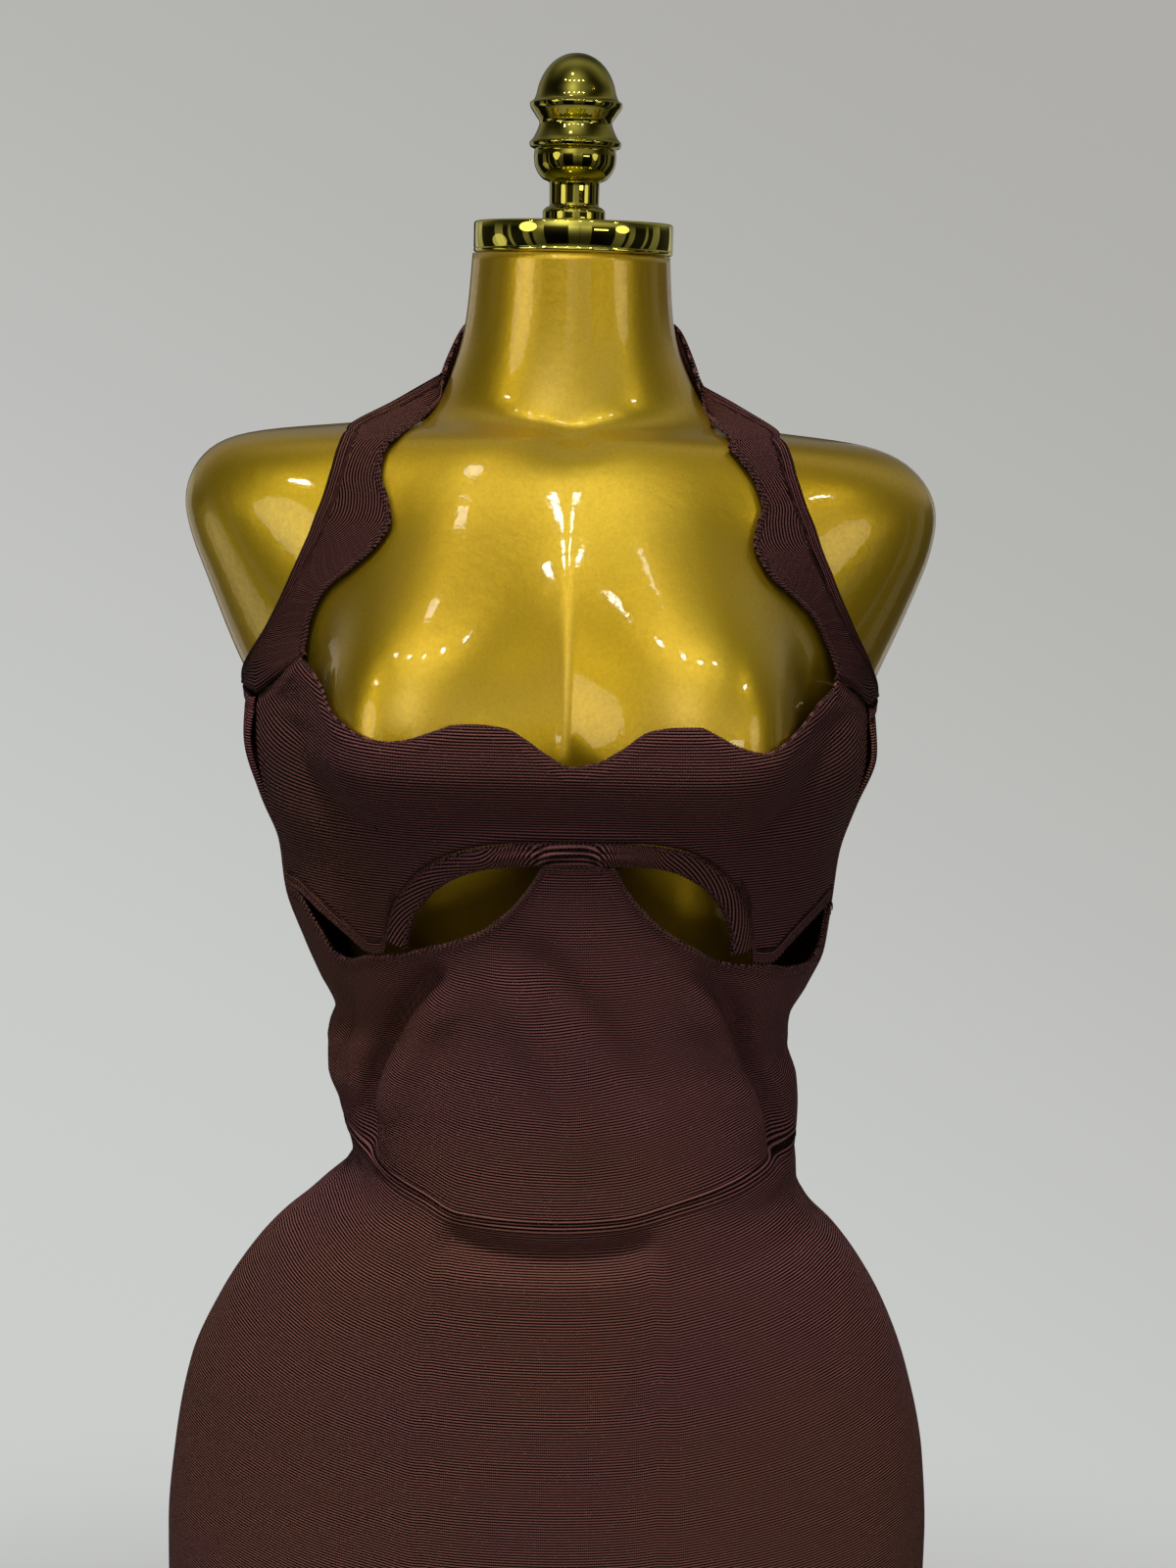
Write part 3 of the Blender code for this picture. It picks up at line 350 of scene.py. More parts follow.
STRAP_LEFT = (
    # outer_deg outer_z inner_deg inner_z free outer_reach inner_reach
    (80.0, 1.2470, 61.3, 1.2587, 0.0, 0.1600, 0.1490),
    (74.3, 1.2581, 60.8, 1.2670, 0.0, 0.1590, 0.1475),
    (69.2, 1.2721, 58.6, 1.2769, 0.0, 0.1560, 0.1460),
    (65.9, 1.2831, 55.7, 1.2863, 0.0, 0.1530, 0.1410),
    (63.2, 1.2951, 50.4, 1.2968, 0.0, 0.1500, 0.1360),
    (61.5, 1.3060, 46.0, 1.3062, 0.0, 0.1480, 0.1290),
    (60.2, 1.3170, 44.9, 1.3173, 0.0, 0.1440, 0.1232),
    (59.6, 1.3279, 47.5, 1.3278, 0.0, 0.1420, 0.1226),
    (59.1, 1.3389, 50.7, 1.3388, 0.0, 0.1370, 0.1216),
    (59.3, 1.3489, 50.9, 1.3489, 0.0, 0.1310, 0.1150),
    (60.6, 1.3590, 50.0, 1.3579, 0.0, 0.1250, 0.1080),
    (63.2, 1.3664, 49.5, 1.3645, 0.3, 0.1200, 0.1040),
    (70.0, 1.3727, 51.2, 1.3684, 1.0, 0.1105, 0.1020),
    (77.0, 1.3842, 61.5, 1.3754, 1.0, 0.0870, 0.0822),
    (89.0, 1.3955, 78.0, 1.3795, 1.0, 0.0658, 0.0716),
    (104.0, 1.3985, 94.0, 1.4010, 1.0, 0.0662, 0.0628),
    (122.0, 1.4000, 113.0, 1.4235, 1.0, 0.0672, 0.0578),
    (150.0, 1.4020, 148.0, 1.4300, 1.0, 0.0668, 0.0575),
    (NECK_SEAM_DEG, 1.4040, NECK_SEAM_DEG, 1.4320, 1.0, 0.0665, 0.0575),
)
STRAP_LIFT = 0.0030    # middle of the strap off the form
# Rows of the skirt's grid, as shares of its length below the waist seam: close together over the hip
SKIRT_ROWS = (0.0, 0.015, 0.030, 0.048, 0.072, 0.105, 0.155, 0.240, 0.380, 0.620, 1.0)
STRAP_END_DEG = 84.0   # how far round the underarm each strap's lower end reaches

# Finial above its seat, top to bottom
FINIAL = (
    # height  radius
    (0.0827, 0.0000),
    (0.0822, 0.0040),
    (0.0806, 0.0082),
    (0.0776, 0.0124),
    (0.0730, 0.0161),
    (0.0672, 0.0188),
    (0.0620, 0.0201),
    (0.0596, 0.0212),
    (0.0580, 0.0231),
    (0.0562, 0.0229),
    (0.0520, 0.0203),
    (0.0484, 0.0182),
    (0.0455, 0.0190),
    (0.0410, 0.0212),
    (0.0386, 0.0230),
    (0.0368, 0.0226),
    (0.0352, 0.0203),
    (0.0322, 0.0206),
    (0.0284, 0.0203),
    (0.0245, 0.0188),
    (0.0210, 0.0160),
    (0.0190, 0.0126),
    (0.0082, 0.0124),
    (0.0070, 0.0142),
    (0.0048, 0.0157),
    (0.0016, 0.0157),
    (0.0000, 0.0146),
    (0.0000, 0.0000),
)

# ------------------------------------------------------------------ curves and surfaces


def smooth_table(rows, x):
    """Every later column of a table at the places x of its first column, by a monotone cubic through its rows."""
    t = np.array(rows, float)
    k, y = t[:, 0], t[:, 1:]
    h = np.diff(k)[:, None]
    d = np.diff(y, axis=0) / h
    m = np.zeros_like(y)
    m[0], m[-1] = d[0], d[-1]
    w1, w2 = 2 * h[1:] + h[:-1], h[1:] + 2 * h[:-1]
    same = d[:-1] * d[1:] > 0
    safe = np.where(same, d[:-1] * d[1:], 1.0)
    m[1:-1] = np.where(same, (w1 + w2) * safe / np.where(same, w1 * d[1:] + w2 * d[:-1], 1.0), 0.0)
    x = np.clip(np.asarray(x, float), k[0], k[-1])
    i = np.clip(np.searchsorted(k, x, side="right") - 1, 0, len(k) - 2)
    s = ((x - k[i]) / (k[i + 1] - k[i]))[..., None]
    hh = (k[i + 1] - k[i])[..., None]
    return (
        (1 + 2 * s) * (1 - s) ** 2 * y[i]
        + s * (1 - s) ** 2 * hh * m[i]
        + s * s * (3 - 2 * s) * y[i + 1]
        + s * s * (s - 1) * hh * m[i + 1]
    )


def edge(rows, x):
    return smooth_table(rows, x)[..., 0]


def wrapped(theta):
    return (np.asarray(theta, float) + math.pi) % (2 * math.pi) - math.pi


def oval(theta, side, depth, n):
    return (np.abs(np.sin(theta) / side) ** n + np.abs(np.cos(theta) / depth) ** n) ** (-1 / n)


def form_radius(theta, z):
    """How far the dress form reaches from its middle line."""
    theta = wrapped(theta)
    right, left, front, back, n = np.moveaxis(smooth_table(FORM, z), -1, 0)
    r = oval(theta, np.where(theta < 0, right, left), np.where(np.abs(theta) < math.pi / 2, front, back), n)
    dz = np.asarray(z, float) - CUP_Z
    fall = CUP_CREST_ROUND * np.logaddexp(0, (dz - CUP_CREST) / CUP_CREST_ROUND)
    fall = fall - CUP_TOP_ROUND * np.logaddexp(0, (dz - CUP_TOP) / CUP_TOP_ROUND)
    level = (1 - fall / (CUP_TOP - CUP_CREST)) * np.exp(-((np.minimum(dz, 0) / CUP_BELOW) ** 2))
    around = 0
    for sign in (-1, 1):
        turn = np.degrees(theta * sign) - CUP_DEG
        around = around + np.exp(-((np.abs(turn) / np.where(turn < 0, CUP_DEG_IN, CUP_DEG_SIDE)) ** CUP_TURN_POWER))
    across = np.hypot(theta - math.radians(VALLEY_DEG), math.radians(VALLEY_DEG_ROUND)) / math.radians(VALLEY_DEG_WIDE)
    crease = np.exp(-across - ((dz + CUP_Z - VALLEY_Z) / VALLEY_HIGH) ** 2)
    dip = np.exp(-(((theta - math.radians(DIP_DEG)) / math.radians(DIP_DEG_WIDE)) ** 2 + ((dz + CUP_Z - DIP_Z) / DIP_HIGH) ** 2))
    return r + CUP_OUT * level * around - DIP_IN * dip - VALLEY_IN * crease


def tight_radius(z, steps):
    """Reach of cloth pulled tight round the form at one height, which spans the form's hollows."""
    th = np.linspace(-math.pi, math.pi, steps, endpoint=False)
    r = form_radius(th, np.full(steps, z)) + EASE
    away = np.cos(th[:, None] - th[None, :])
    most = (r[:, None] * away).max(axis=0)
    return np.where(away > 0.2, most[:, None] / np.maximum(away, 0.2), 9.0).min(axis=0)


class Around:
    """Values on a grid of heights and directions, read between its points by a smooth cubic."""

    def __init__(self, low, high, levels, steps, row_at):
        self.low, self.rise = low, (high - low) / (levels - 1)
        self.levels, self.steps = levels, steps
        self.values = np.stack([row_at(z, steps) for z in np.linspace(low, high, levels)])

    def __call__(self, theta, z):
        x = (wrapped(theta) + math.pi) / (2 * math.pi) * self.steps
        y = np.clip((np.asarray(z, float) - self.low) / self.rise, 0, self.levels - 1.0001)
        i, j = np.floor(y).astype(int), np.floor(x).astype(int)

        def weights(t):
            return (
                ((2 - t) * t - 1) * t / 2,
                ((3 * t - 5) * t * t + 2) / 2,
                ((4 - 3 * t) * t + 1) * t / 2,
                (t - 1) * t * t / 2,
            )

        total = 0
        for di, wi in zip((-1, 0, 1, 2), weights(y - i)):
            row = np.clip(i + di, 0, self.levels - 1)
            for dj, wj in zip((-1, 0, 1, 2), weights(x - j)):
                total = total + wi * wj * self.values[row, (j + dj) % self.steps]
        return total


TIGHT = Around(0.46, 1.32, 130, 120, tight_radius)


def fold_depth(theta, z):
    """How far the creases move the cloth out (or in, below zero)."""
    theta, z = np.broadcast_arrays(np.asarray(theta, float), np.asarray(z, float))
    total = np.zeros(theta.shape)
    t = np.linspace(0, 1, 13)
    for depth, wide, da, za, db, zb, dc, zc in FOLDS:
        deg = (1 - t) ** 2 * da + 2 * t * (1 - t) * (2 * db - (da + dc) / 2) + t * t * dc
        high = (1 - t) ** 2 * za + 2 * t * (1 - t) * (2 * zb - (za + zc) / 2) + t * t * zc
        middle = math.radians((da + dc) / 2)
        turn = wrapped(theta - middle)
        x = turn * 0.112
        px, pz = (np.radians(deg) - middle) * 0.112, high
        nearest = np.full(theta.shape, 9.0)
        for k in range(len(t) - 1):
            ax, az, bx, bz = px[k], pz[k], px[k + 1], pz[k + 1]
            along = ((x - ax) * (bx - ax) + (z - az) * (bz - az)) / ((bx - ax) ** 2 + (bz - az) ** 2)
            along = np.clip(along, 0, 1)
            nearest = np.minimum(nearest, np.hypot(x - ax - along * (bx - ax), z - az - along * (bz - az)))
        total = total + depth * np.exp(-((nearest / wide) ** 2))
    return total


def body_radius(theta, z):
    """Reach of the middle of the dress's cloth: its own sections and creases, but never inside the tight one."""
    theta = wrapped(theta)
    right, left, front, back, n = np.moveaxis(smooth_table(DRESS, z), -1, 0)
    r = oval(theta, np.where(theta < 0, right, left), np.where(np.abs(theta) < math.pi / 2, front, back), n)
    r = r + fold_depth(theta, z)
    tight = TIGHT(theta, z)
    return (r + tight + np.sqrt((r - tight) ** 2 + 0.003**2)) / 2


def place(theta, z, r):
    return np.stack([r * np.sin(theta), -r * np.cos(theta), np.broadcast_to(z, np.shape(r))], axis=-1)


def outward(surface, theta, z):
    """The direction square to a surface that is given as a function of direction and height."""
    d = 1.5e-3
    across = surface(theta + d / 0.13, z) - surface(theta - d / 0.13, z)
    up = surface(theta, z + d) - surface(theta, z - d)
    out = np.cross(across, up)
    return out / np.linalg.norm(out, axis=-1, keepdims=True)


def body_surface(theta, z):
    return place(theta, z, body_radius(theta, z))


def back_surface(theta, z):
    return place(theta, z, body_radius(theta, z) + corner_out(theta, z))


def form_surface(theta, z):
    return place(theta, z, form_radius(theta, z))


def side_deg(z):
    return edge(SIDE, z)


def share_of(rows):
    """A front edge's rows with each angle written as a share of the way from the front to the side seam."""
    return tuple(((deg - TURN_DEG) / float(side_deg(z)), z) for deg, z in rows)


def spaced(places, step):
    """The places given, with even ones between them no further apart than step."""
    out = [places[0]]
    for a, b in zip(places, places[1:]):
        n = max(1, math.ceil((b - a) / step - 1e-6))
        out += [a + (b - a) * k / n for k in range(1, n + 1)]
    return np.array(out)


def thinned(must, others, apart):
    """The first places, and those of the others that are further apart than that from them and each other."""
    kept = sorted(must)
    for place_ in others:
        if min(abs(place_ - k) for k in kept) > apart:
            kept.append(place_)
    return sorted(kept)


def waist_z(theta):
    return edge(WAIST, np.degrees(wrapped(theta)))


def band_lines():
    """Middle line of the under-bust band and its two edges, as (angle, height)."""
    rows = np.array(BAND, float)
    t = np.arange(len(rows), dtype=float)
    fine = np.linspace(0, len(rows) - 1, 2 * len(rows) - 1)
    path = smooth_table(np.column_stack([t, rows]), fine)
    x, z = np.radians(path[:, 0]) * 0.125, path[:, 1]
    run = np.stack([np.gradient(x), np.gradient(z)], axis=-1)
    run /= np.linalg.norm(run, axis=-1, keepdims=True)
    out = np.stack([-run[:, 1], run[:, 0]], axis=-1)

    def moved(by):
        return np.degrees((x + out[:, 0] * by) / 0.125), z + out[:, 1] * by

    return path[:, 0], path[:, 1], moved


def bust_low_rows():
    """The bust panel's whole lower edge: side, tip, along the band, tip, side."""
    _, _, moved = band_lines()
    deg, z = moved(BAND_HALF + SEAM)
    keep = (deg > BUST_LOW_RIGHT[-1][0] + 0.3) & (deg < BUST_LOW_LEFT[0][0] - 0.3)
    middle = [(float(a), float(b)) for a, b in zip(deg[keep], z[keep])]
    rows = list(BUST_LOW_RIGHT) + middle + list(BUST_LOW_LEFT)
    for a, b in zip(rows, rows[1:]):
        assert b[0] > a[0], (a, b)
    return rows


def corner_out(theta, z):
    turn = np.abs(wrapped(theta - math.radians(TURN_DEG)))
    near = np.degrees(turn) - side_deg(z)
    return CORNER_OUT * np.exp(-((near / CORNER_DEG) ** 2)) * np.exp(-(((z - CORNER_Z) / CORNER_HIGH) ** 2))


def strap_corner(sign):
    """Angles of the neckline's rows from the strap's corner out to the side seam."""
    rows = [row for row in NECKLINE if row[0] * sign > 50]
    corner = max(rows, key=lambda row: row[1])
    return sorted((row[0] for row in rows if abs(row[0]) >= abs(corner[0])), key=abs)

# ------------------------------------------------------------------ grids and shells


def run_along(points, axis):
    """Distance along the grid's lines from their first point."""
    step = np.linalg.norm(np.diff(points, axis=axis), axis=-1)
    zero = np.zeros_like(np.take(step, [0], axis=axis))
    return np.concatenate([zero, np.cumsum(step, axis=axis)], axis=axis)


def from_end(run, axis):
    return np.take(run, [-1], axis=axis) - run


def soft_step(x, low, high):
    t = np.clip((np.asarray(x, float) - low) / (high - low), 0, 1)
    return t * t * (3 - 2 * t)


def bump(x, middle, half):
    return np.exp(-(((np.asarray(x, float) - middle) / half) ** 2))


def unit(v):
    return v / np.maximum(np.linalg.norm(v, axis=-1, keepdims=True), 1e-12)


def grid_out(points):
    """Directions square to a grid, upper row first, first column at its left seen from outside."""
    down = np.gradient(points, axis=0)
    right = np.gradient(points, axis=1)
    return unit(np.cross(down, right))


def make_object(name, verts, faces, mat, uv=None):
    mesh = bpy.data.meshes.new(name)
    mesh.from_pydata(np.asarray(verts, float).tolist(), [], faces)
    mesh.materials.append(mat)
    mesh.shade_smooth()
    if uv is not None:
        layer = mesh.uv_layers.new(name="knit")
        index = np.empty(len(mesh.loops), np.int32)
        mesh.loops.foreach_get("vertex_index", index)
        layer.uv.foreach_set("vector", np.asarray(uv, np.float32)[index].ravel())
    obj = bpy.data.objects.new(name, mesh)
    bpy.context.scene.collection.objects.link(obj)
    return obj


def shell(name, mid, out, thick, uv, mat, rim_steps=4):
    """Closed thin cloth round a grid of its middle points, with a rounded rim. Upper row first."""
    rows, cols = mid.shape[:2]
    half = np.broadcast_to(np.asarray(thick, float), (rows, cols))[..., None] / 2
    ring = [(0, j) for j in range(cols)] + [(i, cols - 1) for i in range(1, rows)]
    ring += [(rows - 1, j) for j in range(cols - 2, -1, -1)] + [(i, 0) for i in range(rows - 2, 0, -1)]
    away = np.zeros_like(mid)
    away[0] += unit(mid[0] - mid[1])
    away[-1] += unit(mid[-1] - mid[-2])
    away[:, 0] += unit(mid[:, 0] - mid[:, 1])
    away[:, -1] += unit(mid[:, -1] - mid[:, -2])
    ri, rj = np.array(ring).T
    edge_away = away[ri, rj]
    edge_out = out[ri, rj]
    edge_away = unit(edge_away - (edge_away * edge_out).sum(-1, keepdims=True) * edge_out)
    mid = mid.copy()
    mid[ri, rj] -= edge_away * half[ri, rj] * 0.9
    verts = [(mid + out * half).reshape(-1, 3), (mid - out * half).reshape(-1, 3)]
    for k in range(1, rim_steps):
        a = math.pi * k / rim_steps
        verts.append(mid[ri, rj] + edge_out * half[ri, rj] * math.cos(a) + edge_away * half[ri, rj] * math.sin(a))
    n, inner = len(ring), rows * cols
    faces = []
    i, j = np.meshgrid(np.arange(rows - 1), np.arange(cols - 1), indexing="ij")
    a, b, c, d = (i * cols + j), ((i + 1) * cols + j), ((i + 1) * cols + j + 1), (i * cols + j + 1)
    faces += np.stack([a, b, c, d], -1).reshape(-1, 4).tolist()
    faces += (np.stack([a, d, c, b], -1).reshape(-1, 4) + inner).tolist()
    levels = [ri * cols + rj] + [2 * inner + k * n + np.arange(n) for k in range(rim_steps - 1)] + [ri * cols + rj + inner]
    for upper, lower in zip(levels, levels[1:]):
        faces += np.stack([upper, np.roll(upper, -1), np.roll(lower, -1), lower], -1).tolist()
    flat = uv.reshape(-1, 2)
    all_uv = np.concatenate([flat, flat] + [uv[ri, rj]] * (rim_steps - 1))
    return make_object(name, np.concatenate(verts), faces, mat, all_uv)


def closed_grid(name, points, mat, ends=True):
    """A body from rings of points, lowest first, each going round the same way, anticlockwise from above."""
    rings, steps = points.shape[:2]
    i, j = np.meshgrid(np.arange(rings - 1), np.arange(steps), indexing="ij")
    k = (j + 1) % steps
    faces = np.stack([i * steps + j, i * steps + k, (i + 1) * steps + k, (i + 1) * steps + j], -1).reshape(-1, 4).tolist()
    if ends:
        faces.append(list(range(steps - 1, -1, -1)))
        faces.append(list(range((rings - 1) * steps, rings * steps)))
    return make_object(name, points.reshape(-1, 3), faces, mat)


def lathe(name, profile, steps, mat, flute=None):
    """A turned body from (height, radius) rows, lowest first."""
    p = np.array(profile, float)
    th = np.linspace(0, 2 * math.pi, steps, endpoint=False)
    z = np.broadcast_to(p[:, :1], (len(p), steps))
    r = np.broadcast_to(np.maximum(p[:, 1:2], 1e-5), (len(p), steps))
    return closed_grid(name, np.stack([r * np.cos(th), r * np.sin(th), z], -1), mat)


def smooth_profile(rows, per_row):
    """More rows through the ones given, by their own run, so that a turned shape has no flats."""
    rows = np.array(rows, float)
    t = np.arange(len(rows), dtype=float)
    fine = np.linspace(0, len(rows) - 1, (len(rows) - 1) * per_row + 1)
    return smooth_table(np.column_stack([t, rows]), fine)


def threads(name, path, out, away, mat, pitch, radius, reach_in, slant=0.0, wrap=1.0, start=0.5, lift=0.0):
    """Short overlock stitches along an edge: each starts on the outer face and goes over the rim. One joined mesh."""
    run = run_along(path, 0)
    count = int((run[-1] - start * pitch) / pitch)
    at = (start + np.arange(count)) * pitch

    def read(values, s):
        return np.stack([np.interp(s, run, values[:, k]) for k in range(values.shape[1])], -1)

    along = unit(np.gradient(path, axis=0))
    share = np.linspace(0, 1, 6)
    sides = 5
    verts, faces, total = [], [], 0
    for n, s in enumerate(at):
        uneven = math.sin(n * 12.9898) * 0.5
        line = []
        for q in share:
            here = s + slant * (q - 0.5) + 0.12 * pitch * uneven
            p, o, w, g = read(path, here), unit(read(out, here)), unit(read(away, here)), unit(read(along, here))
            if q < 0.6:
                back = reach_in * (1 - q / 0.6) * (1 + 0.15 * uneven)
                high = lift + 0.35 * radius * math.sin(math.pi * q / 0.6)
                line.append((p - w * back + o * (WALL / 2 + high), o, g))
            else:
                a = (q - 0.6) / 0.4 * math.pi * 0.75 * wrap
                line.append((p + (o * math.cos(a) + w * math.sin(a)) * (WALL / 2 + lift + 0.2 * radius), unit(o * math.cos(a) + w * math.sin(a)), g))
        pts = np.array([x[0] for x in line])
        tangent = unit(np.gradient(pts, axis=0))
        up = np.array([x[1] for x in line])
        side = unit(np.cross(tangent, up))
        up = np.cross(side, tangent)
        thin = radius * np.array([0.55, 0.95, 1.0, 1.0, 0.95, 0.5])
        for k in range(len(line)):
            for m in range(sides):
                a = 2 * math.pi * m / sides
                verts.append(pts[k] + (side[k] * math.cos(a) + up[k] * math.sin(a)) * thin[k])
        for k in range(len(line) - 1):
            for m in range(sides):
                a, b = total + k * sides + m, total + k * sides + (m + 1) % sides
                faces.append((a, b, b + sides, a + sides))
        faces.append(tuple(total + m for m in range(sides - 1, -1, -1)))
        faces.append(tuple(total + (len(line) - 1) * sides + m for m in range(sides)))
        total += len(line) * sides
    uv = np.zeros((len(verts), 2))
    return make_object(name, np.array(verts), faces, mat, uv)


# ------------------------------------------------------------------ node helper and materials


class Tree:
    """Short calls for making a shader."""

    def __init__(self, owner):
        owner.use_nodes = True
        self.tree = owner.node_tree
        self.tree.nodes.clear()

    def node(self, kind, **inputs):
        made = self.tree.nodes.new(kind)
        for key, value in inputs.items():
            if key.startswith("set_"):
                setattr(made, key[4:], value)
            else:
                self.put(made.inputs[key.replace("_", " ")], value)
        return made

    def put(self, socket, value):
        if isinstance(value, bpy.types.NodeSocket):
            self.tree.links.new(value, socket)
        else:
            socket.default_value = value

    def math(self, kind, a, b=0.0, c=0.0, clamp=False):
        made = self.tree.nodes.new("ShaderNodeMath")
        made.operation, made.use_clamp = kind, clamp
        for socket, value in zip(made.inputs, (a, b, c)):
            self.put(socket, value)
        return made.outputs[0]

    def mix(self, share, a, b, kind="MIX"):
        made = self.tree.nodes.new("ShaderNodeMix")
        made.data_type, made.blend_type = "RGBA", kind
        self.put(made.inputs[0], share)
        self.put(made.inputs[6], (*a, 1.0) if isinstance(a, tuple) and len(a) == 3 else a)
        self.put(made.inputs[7], (*b, 1.0) if isinstance(b, tuple) and len(b) == 3 else b)
        return made.outputs[2]

    def noise(self, scale, detail=2.0, rough=0.5, where=None, stretch=None, which=0):
        if where is None:
            where = self.node("ShaderNodeTexCoord").outputs["Object"]
        if stretch is not None:
            where = self.node("ShaderNodeMapping", Vector=where, Scale=stretch).outputs[0]
        made = self.node("ShaderNodeTexNoise", Vector=where, Scale=scale, Detail=detail, Roughness=rough)
        return made.outputs[which]

    def ramp(self, value, low, high, out_low=0.0, out_high=1.0, smooth=True):
        made = self.tree.nodes.new("ShaderNodeMapRange")
        made.interpolation_type = "SMOOTHSTEP" if smooth else "LINEAR"
        for k, v in enumerate((value, low, high, out_low, out_high)):
            self.put(made.inputs[k], v)
        return made.outputs[0]


def new_material(name):
    mat = bpy.data.materials.new(name)
    return mat, Tree(mat)


def finish_material(t, shader):
    t.node("ShaderNodeOutputMaterial", Surface=shader.outputs[0])


COURSE, WALE = 0.00142, 0.00100     # rib pitch and stitch pitch of the knit


def knit_material(name, rib_gap_shade, mid, light, course=COURSE, wale=WALE, depth=0.00070):
    """Bandage knit: rounded ribs made of small upright stitches. The map gives metres across and along the courses."""
    mat, t = new_material(name)
    uv = t.node("ShaderNodeUVMap", set_uv_map="knit").outputs[0]
    split = t.node("ShaderNodeSeparateXYZ", Vector=uv)
    wander = t.noise(110.0, 2.0, 0.5)
    c = t.math("MULTIPLY_ADD", wander, 0.00014, split.outputs[1])
    u = t.math("MULTIPLY_ADD", t.noise(140.0, 2.0, 0.5), 0.00030, split.outputs[0])
    ph = t.math("DIVIDE", c, course)
    row = t.math("FLOOR", ph)
    f = t.math("SUBTRACT", ph, row)
    tri = t.math("ABSOLUTE", t.math("MULTIPLY_ADD", f, 2.0, -1.0))
    rib = t.math("SUBTRACT", 1.0, t.math("POWER", tri, 1.6))
    # Each row's loops stand between those of the row below
    odd = t.math("MULTIPLY", t.math("FLOORED_MODULO", row, 2.0), math.pi)
    across = t.math("MULTIPLY", t.math("DIVIDE", u, wale), math.pi)
    every = t.math("MULTIPLY_ADD", t.math("COSINE", t.math("MULTIPLY", across, 2.0)), 0.5, 0.5)
    other = t.math("MULTIPLY_ADD", t.math("COSINE", t.math("ADD", across, odd)), 0.5, 0.5)
    stitch = t.math("MULTIPLY_ADD", other, 0.35, t.math("MULTIPLY", every, 0.65))
    fibre = t.noise(2600.0, 3.0, 0.65)
    body = t.math("MULTIPLY", rib, t.math("MULTIPLY_ADD", stitch, 0.34, 0.66))
    height = t.math("ADD", body, t.math("MULTIPLY", fibre, 0.16))
    # Colour: painted shade between the ribs, where the rib runs low; plum or brown by turns over the cloth, a little
    # fleck in the yarn
    cast = t.ramp(t.noise(7.0, 2.0, 0.5), 0.38, 0.62)
    fleck = t.ramp(t.noise(900.0, 2.0, 0.6), 0.60, 0.80)
    deep = t.mix(cast, rib_gap_shade, tuple(v * k for v, k in zip(rib_gap_shade, (1.05, 0.92, 1.06))))
    top = t.mix(cast, tuple(v * k for v, k in zip(mid, (0.97, 0.95, 1.10))), tuple(v * k for v, k in zip(mid, (1.02, 1.06, 0.90))))
    # Painted shade: the rib's low ground takes the shade colour, its crown the cloth's own colour
    colour = t.mix(t.ramp(body, 0.50, 0.76), deep, top)
    colour = t.mix(t.math("MULTIPLY", fleck, 0.45), colour, light)
    bumped = t.node("ShaderNodeBump", Height=height, Strength=0.85, Distance=depth)
    shader = t.node(
        "ShaderNodeBsdfPrincipled", **{"Base Color": colour}, Roughness=0.82, Normal=bumped.outputs[0],
        **{"Sheen Weight": 0.0, "Sheen Roughness": 0.45, "Sheen Tint": (0.85, 0.45, 0.42, 1.0), "Specular IOR Level": 0.10},
    )
    finish_material(t, shader)
    return mat


def thread_material(name, base, light):
    mat, t = new_material(name)
    twist = t.ramp(t.noise(1400.0, 2.0, 0.6), 0.35, 0.7)
    colour = t.mix(twist, base, light)
    bumped = t.node("ShaderNodeBump", Height=t.noise(3000.0, 2.0, 0.6), Strength=0.5, Distance=0.0001)
    shader = t.node(
        "ShaderNodeBsdfPrincipled", **{"Base Color": colour}, Roughness=0.7, Normal=bumped.outputs[0],
        **{"Sheen Weight": 0.08, "Sheen Roughness": 0.4, "Sheen Tint": (0.85, 0.45, 0.42, 1.0), "Specular IOR Level": 0.12},
    )
    finish_material(t, shader)
    return mat


def gold_paint_material():
    """Metallic gold paint on a moulded shell: flakes under a clear gloss coat with orange peel."""
    mat, t = new_material("gold_paint")
    where = t.node("ShaderNodeTexCoord").outputs["Object"]
    cloud = t.ramp(t.noise(9.0, 3.0, 0.55, where), 0.35, 0.68)
    grain = t.ramp(t.noise(520.0, 2.0, 0.6, where), 0.30, 0.75)
    flake = t.ramp(t.noise(1900.0, 1.0, 0.5, where), 0.35, 0.75)
    colour = t.mix(cloud, GOLD_WARM, GOLD_COOL)
    colour = t.mix(t.math("MULTIPLY", grain, 0.35), colour, GOLD_DEEP)
    colour = t.mix(t.math("MULTIPLY", flake, 0.22), colour, GOLD_LIGHT)
    rough = t.math("MULTIPLY_ADD", grain, 0.06, 0.34)
    peel = t.noise(170.0, 2.0, 0.5, where)
    fine = t.noise(1300.0, 1.0, 0.5, where)
    under = t.node("ShaderNodeBump", Height=t.math("ADD", t.math("MULTIPLY", fine, 0.35), peel), Strength=0.30, Distance=0.0004)
    over = t.node("ShaderNodeBump", Height=peel, Strength=0.30, Distance=0.00022)
    shader = t.node(
        "ShaderNodeBsdfPrincipled", **{"Base Color": colour}, Roughness=rough, Normal=under.outputs[0],
        **{"Metallic": 0.88, "Coat Weight": 0.80, "Coat Roughness": 0.05, "Coat IOR": 1.5, "Coat Normal": over.outputs[0]},
    )
    finish_material(t, shader)
    return mat


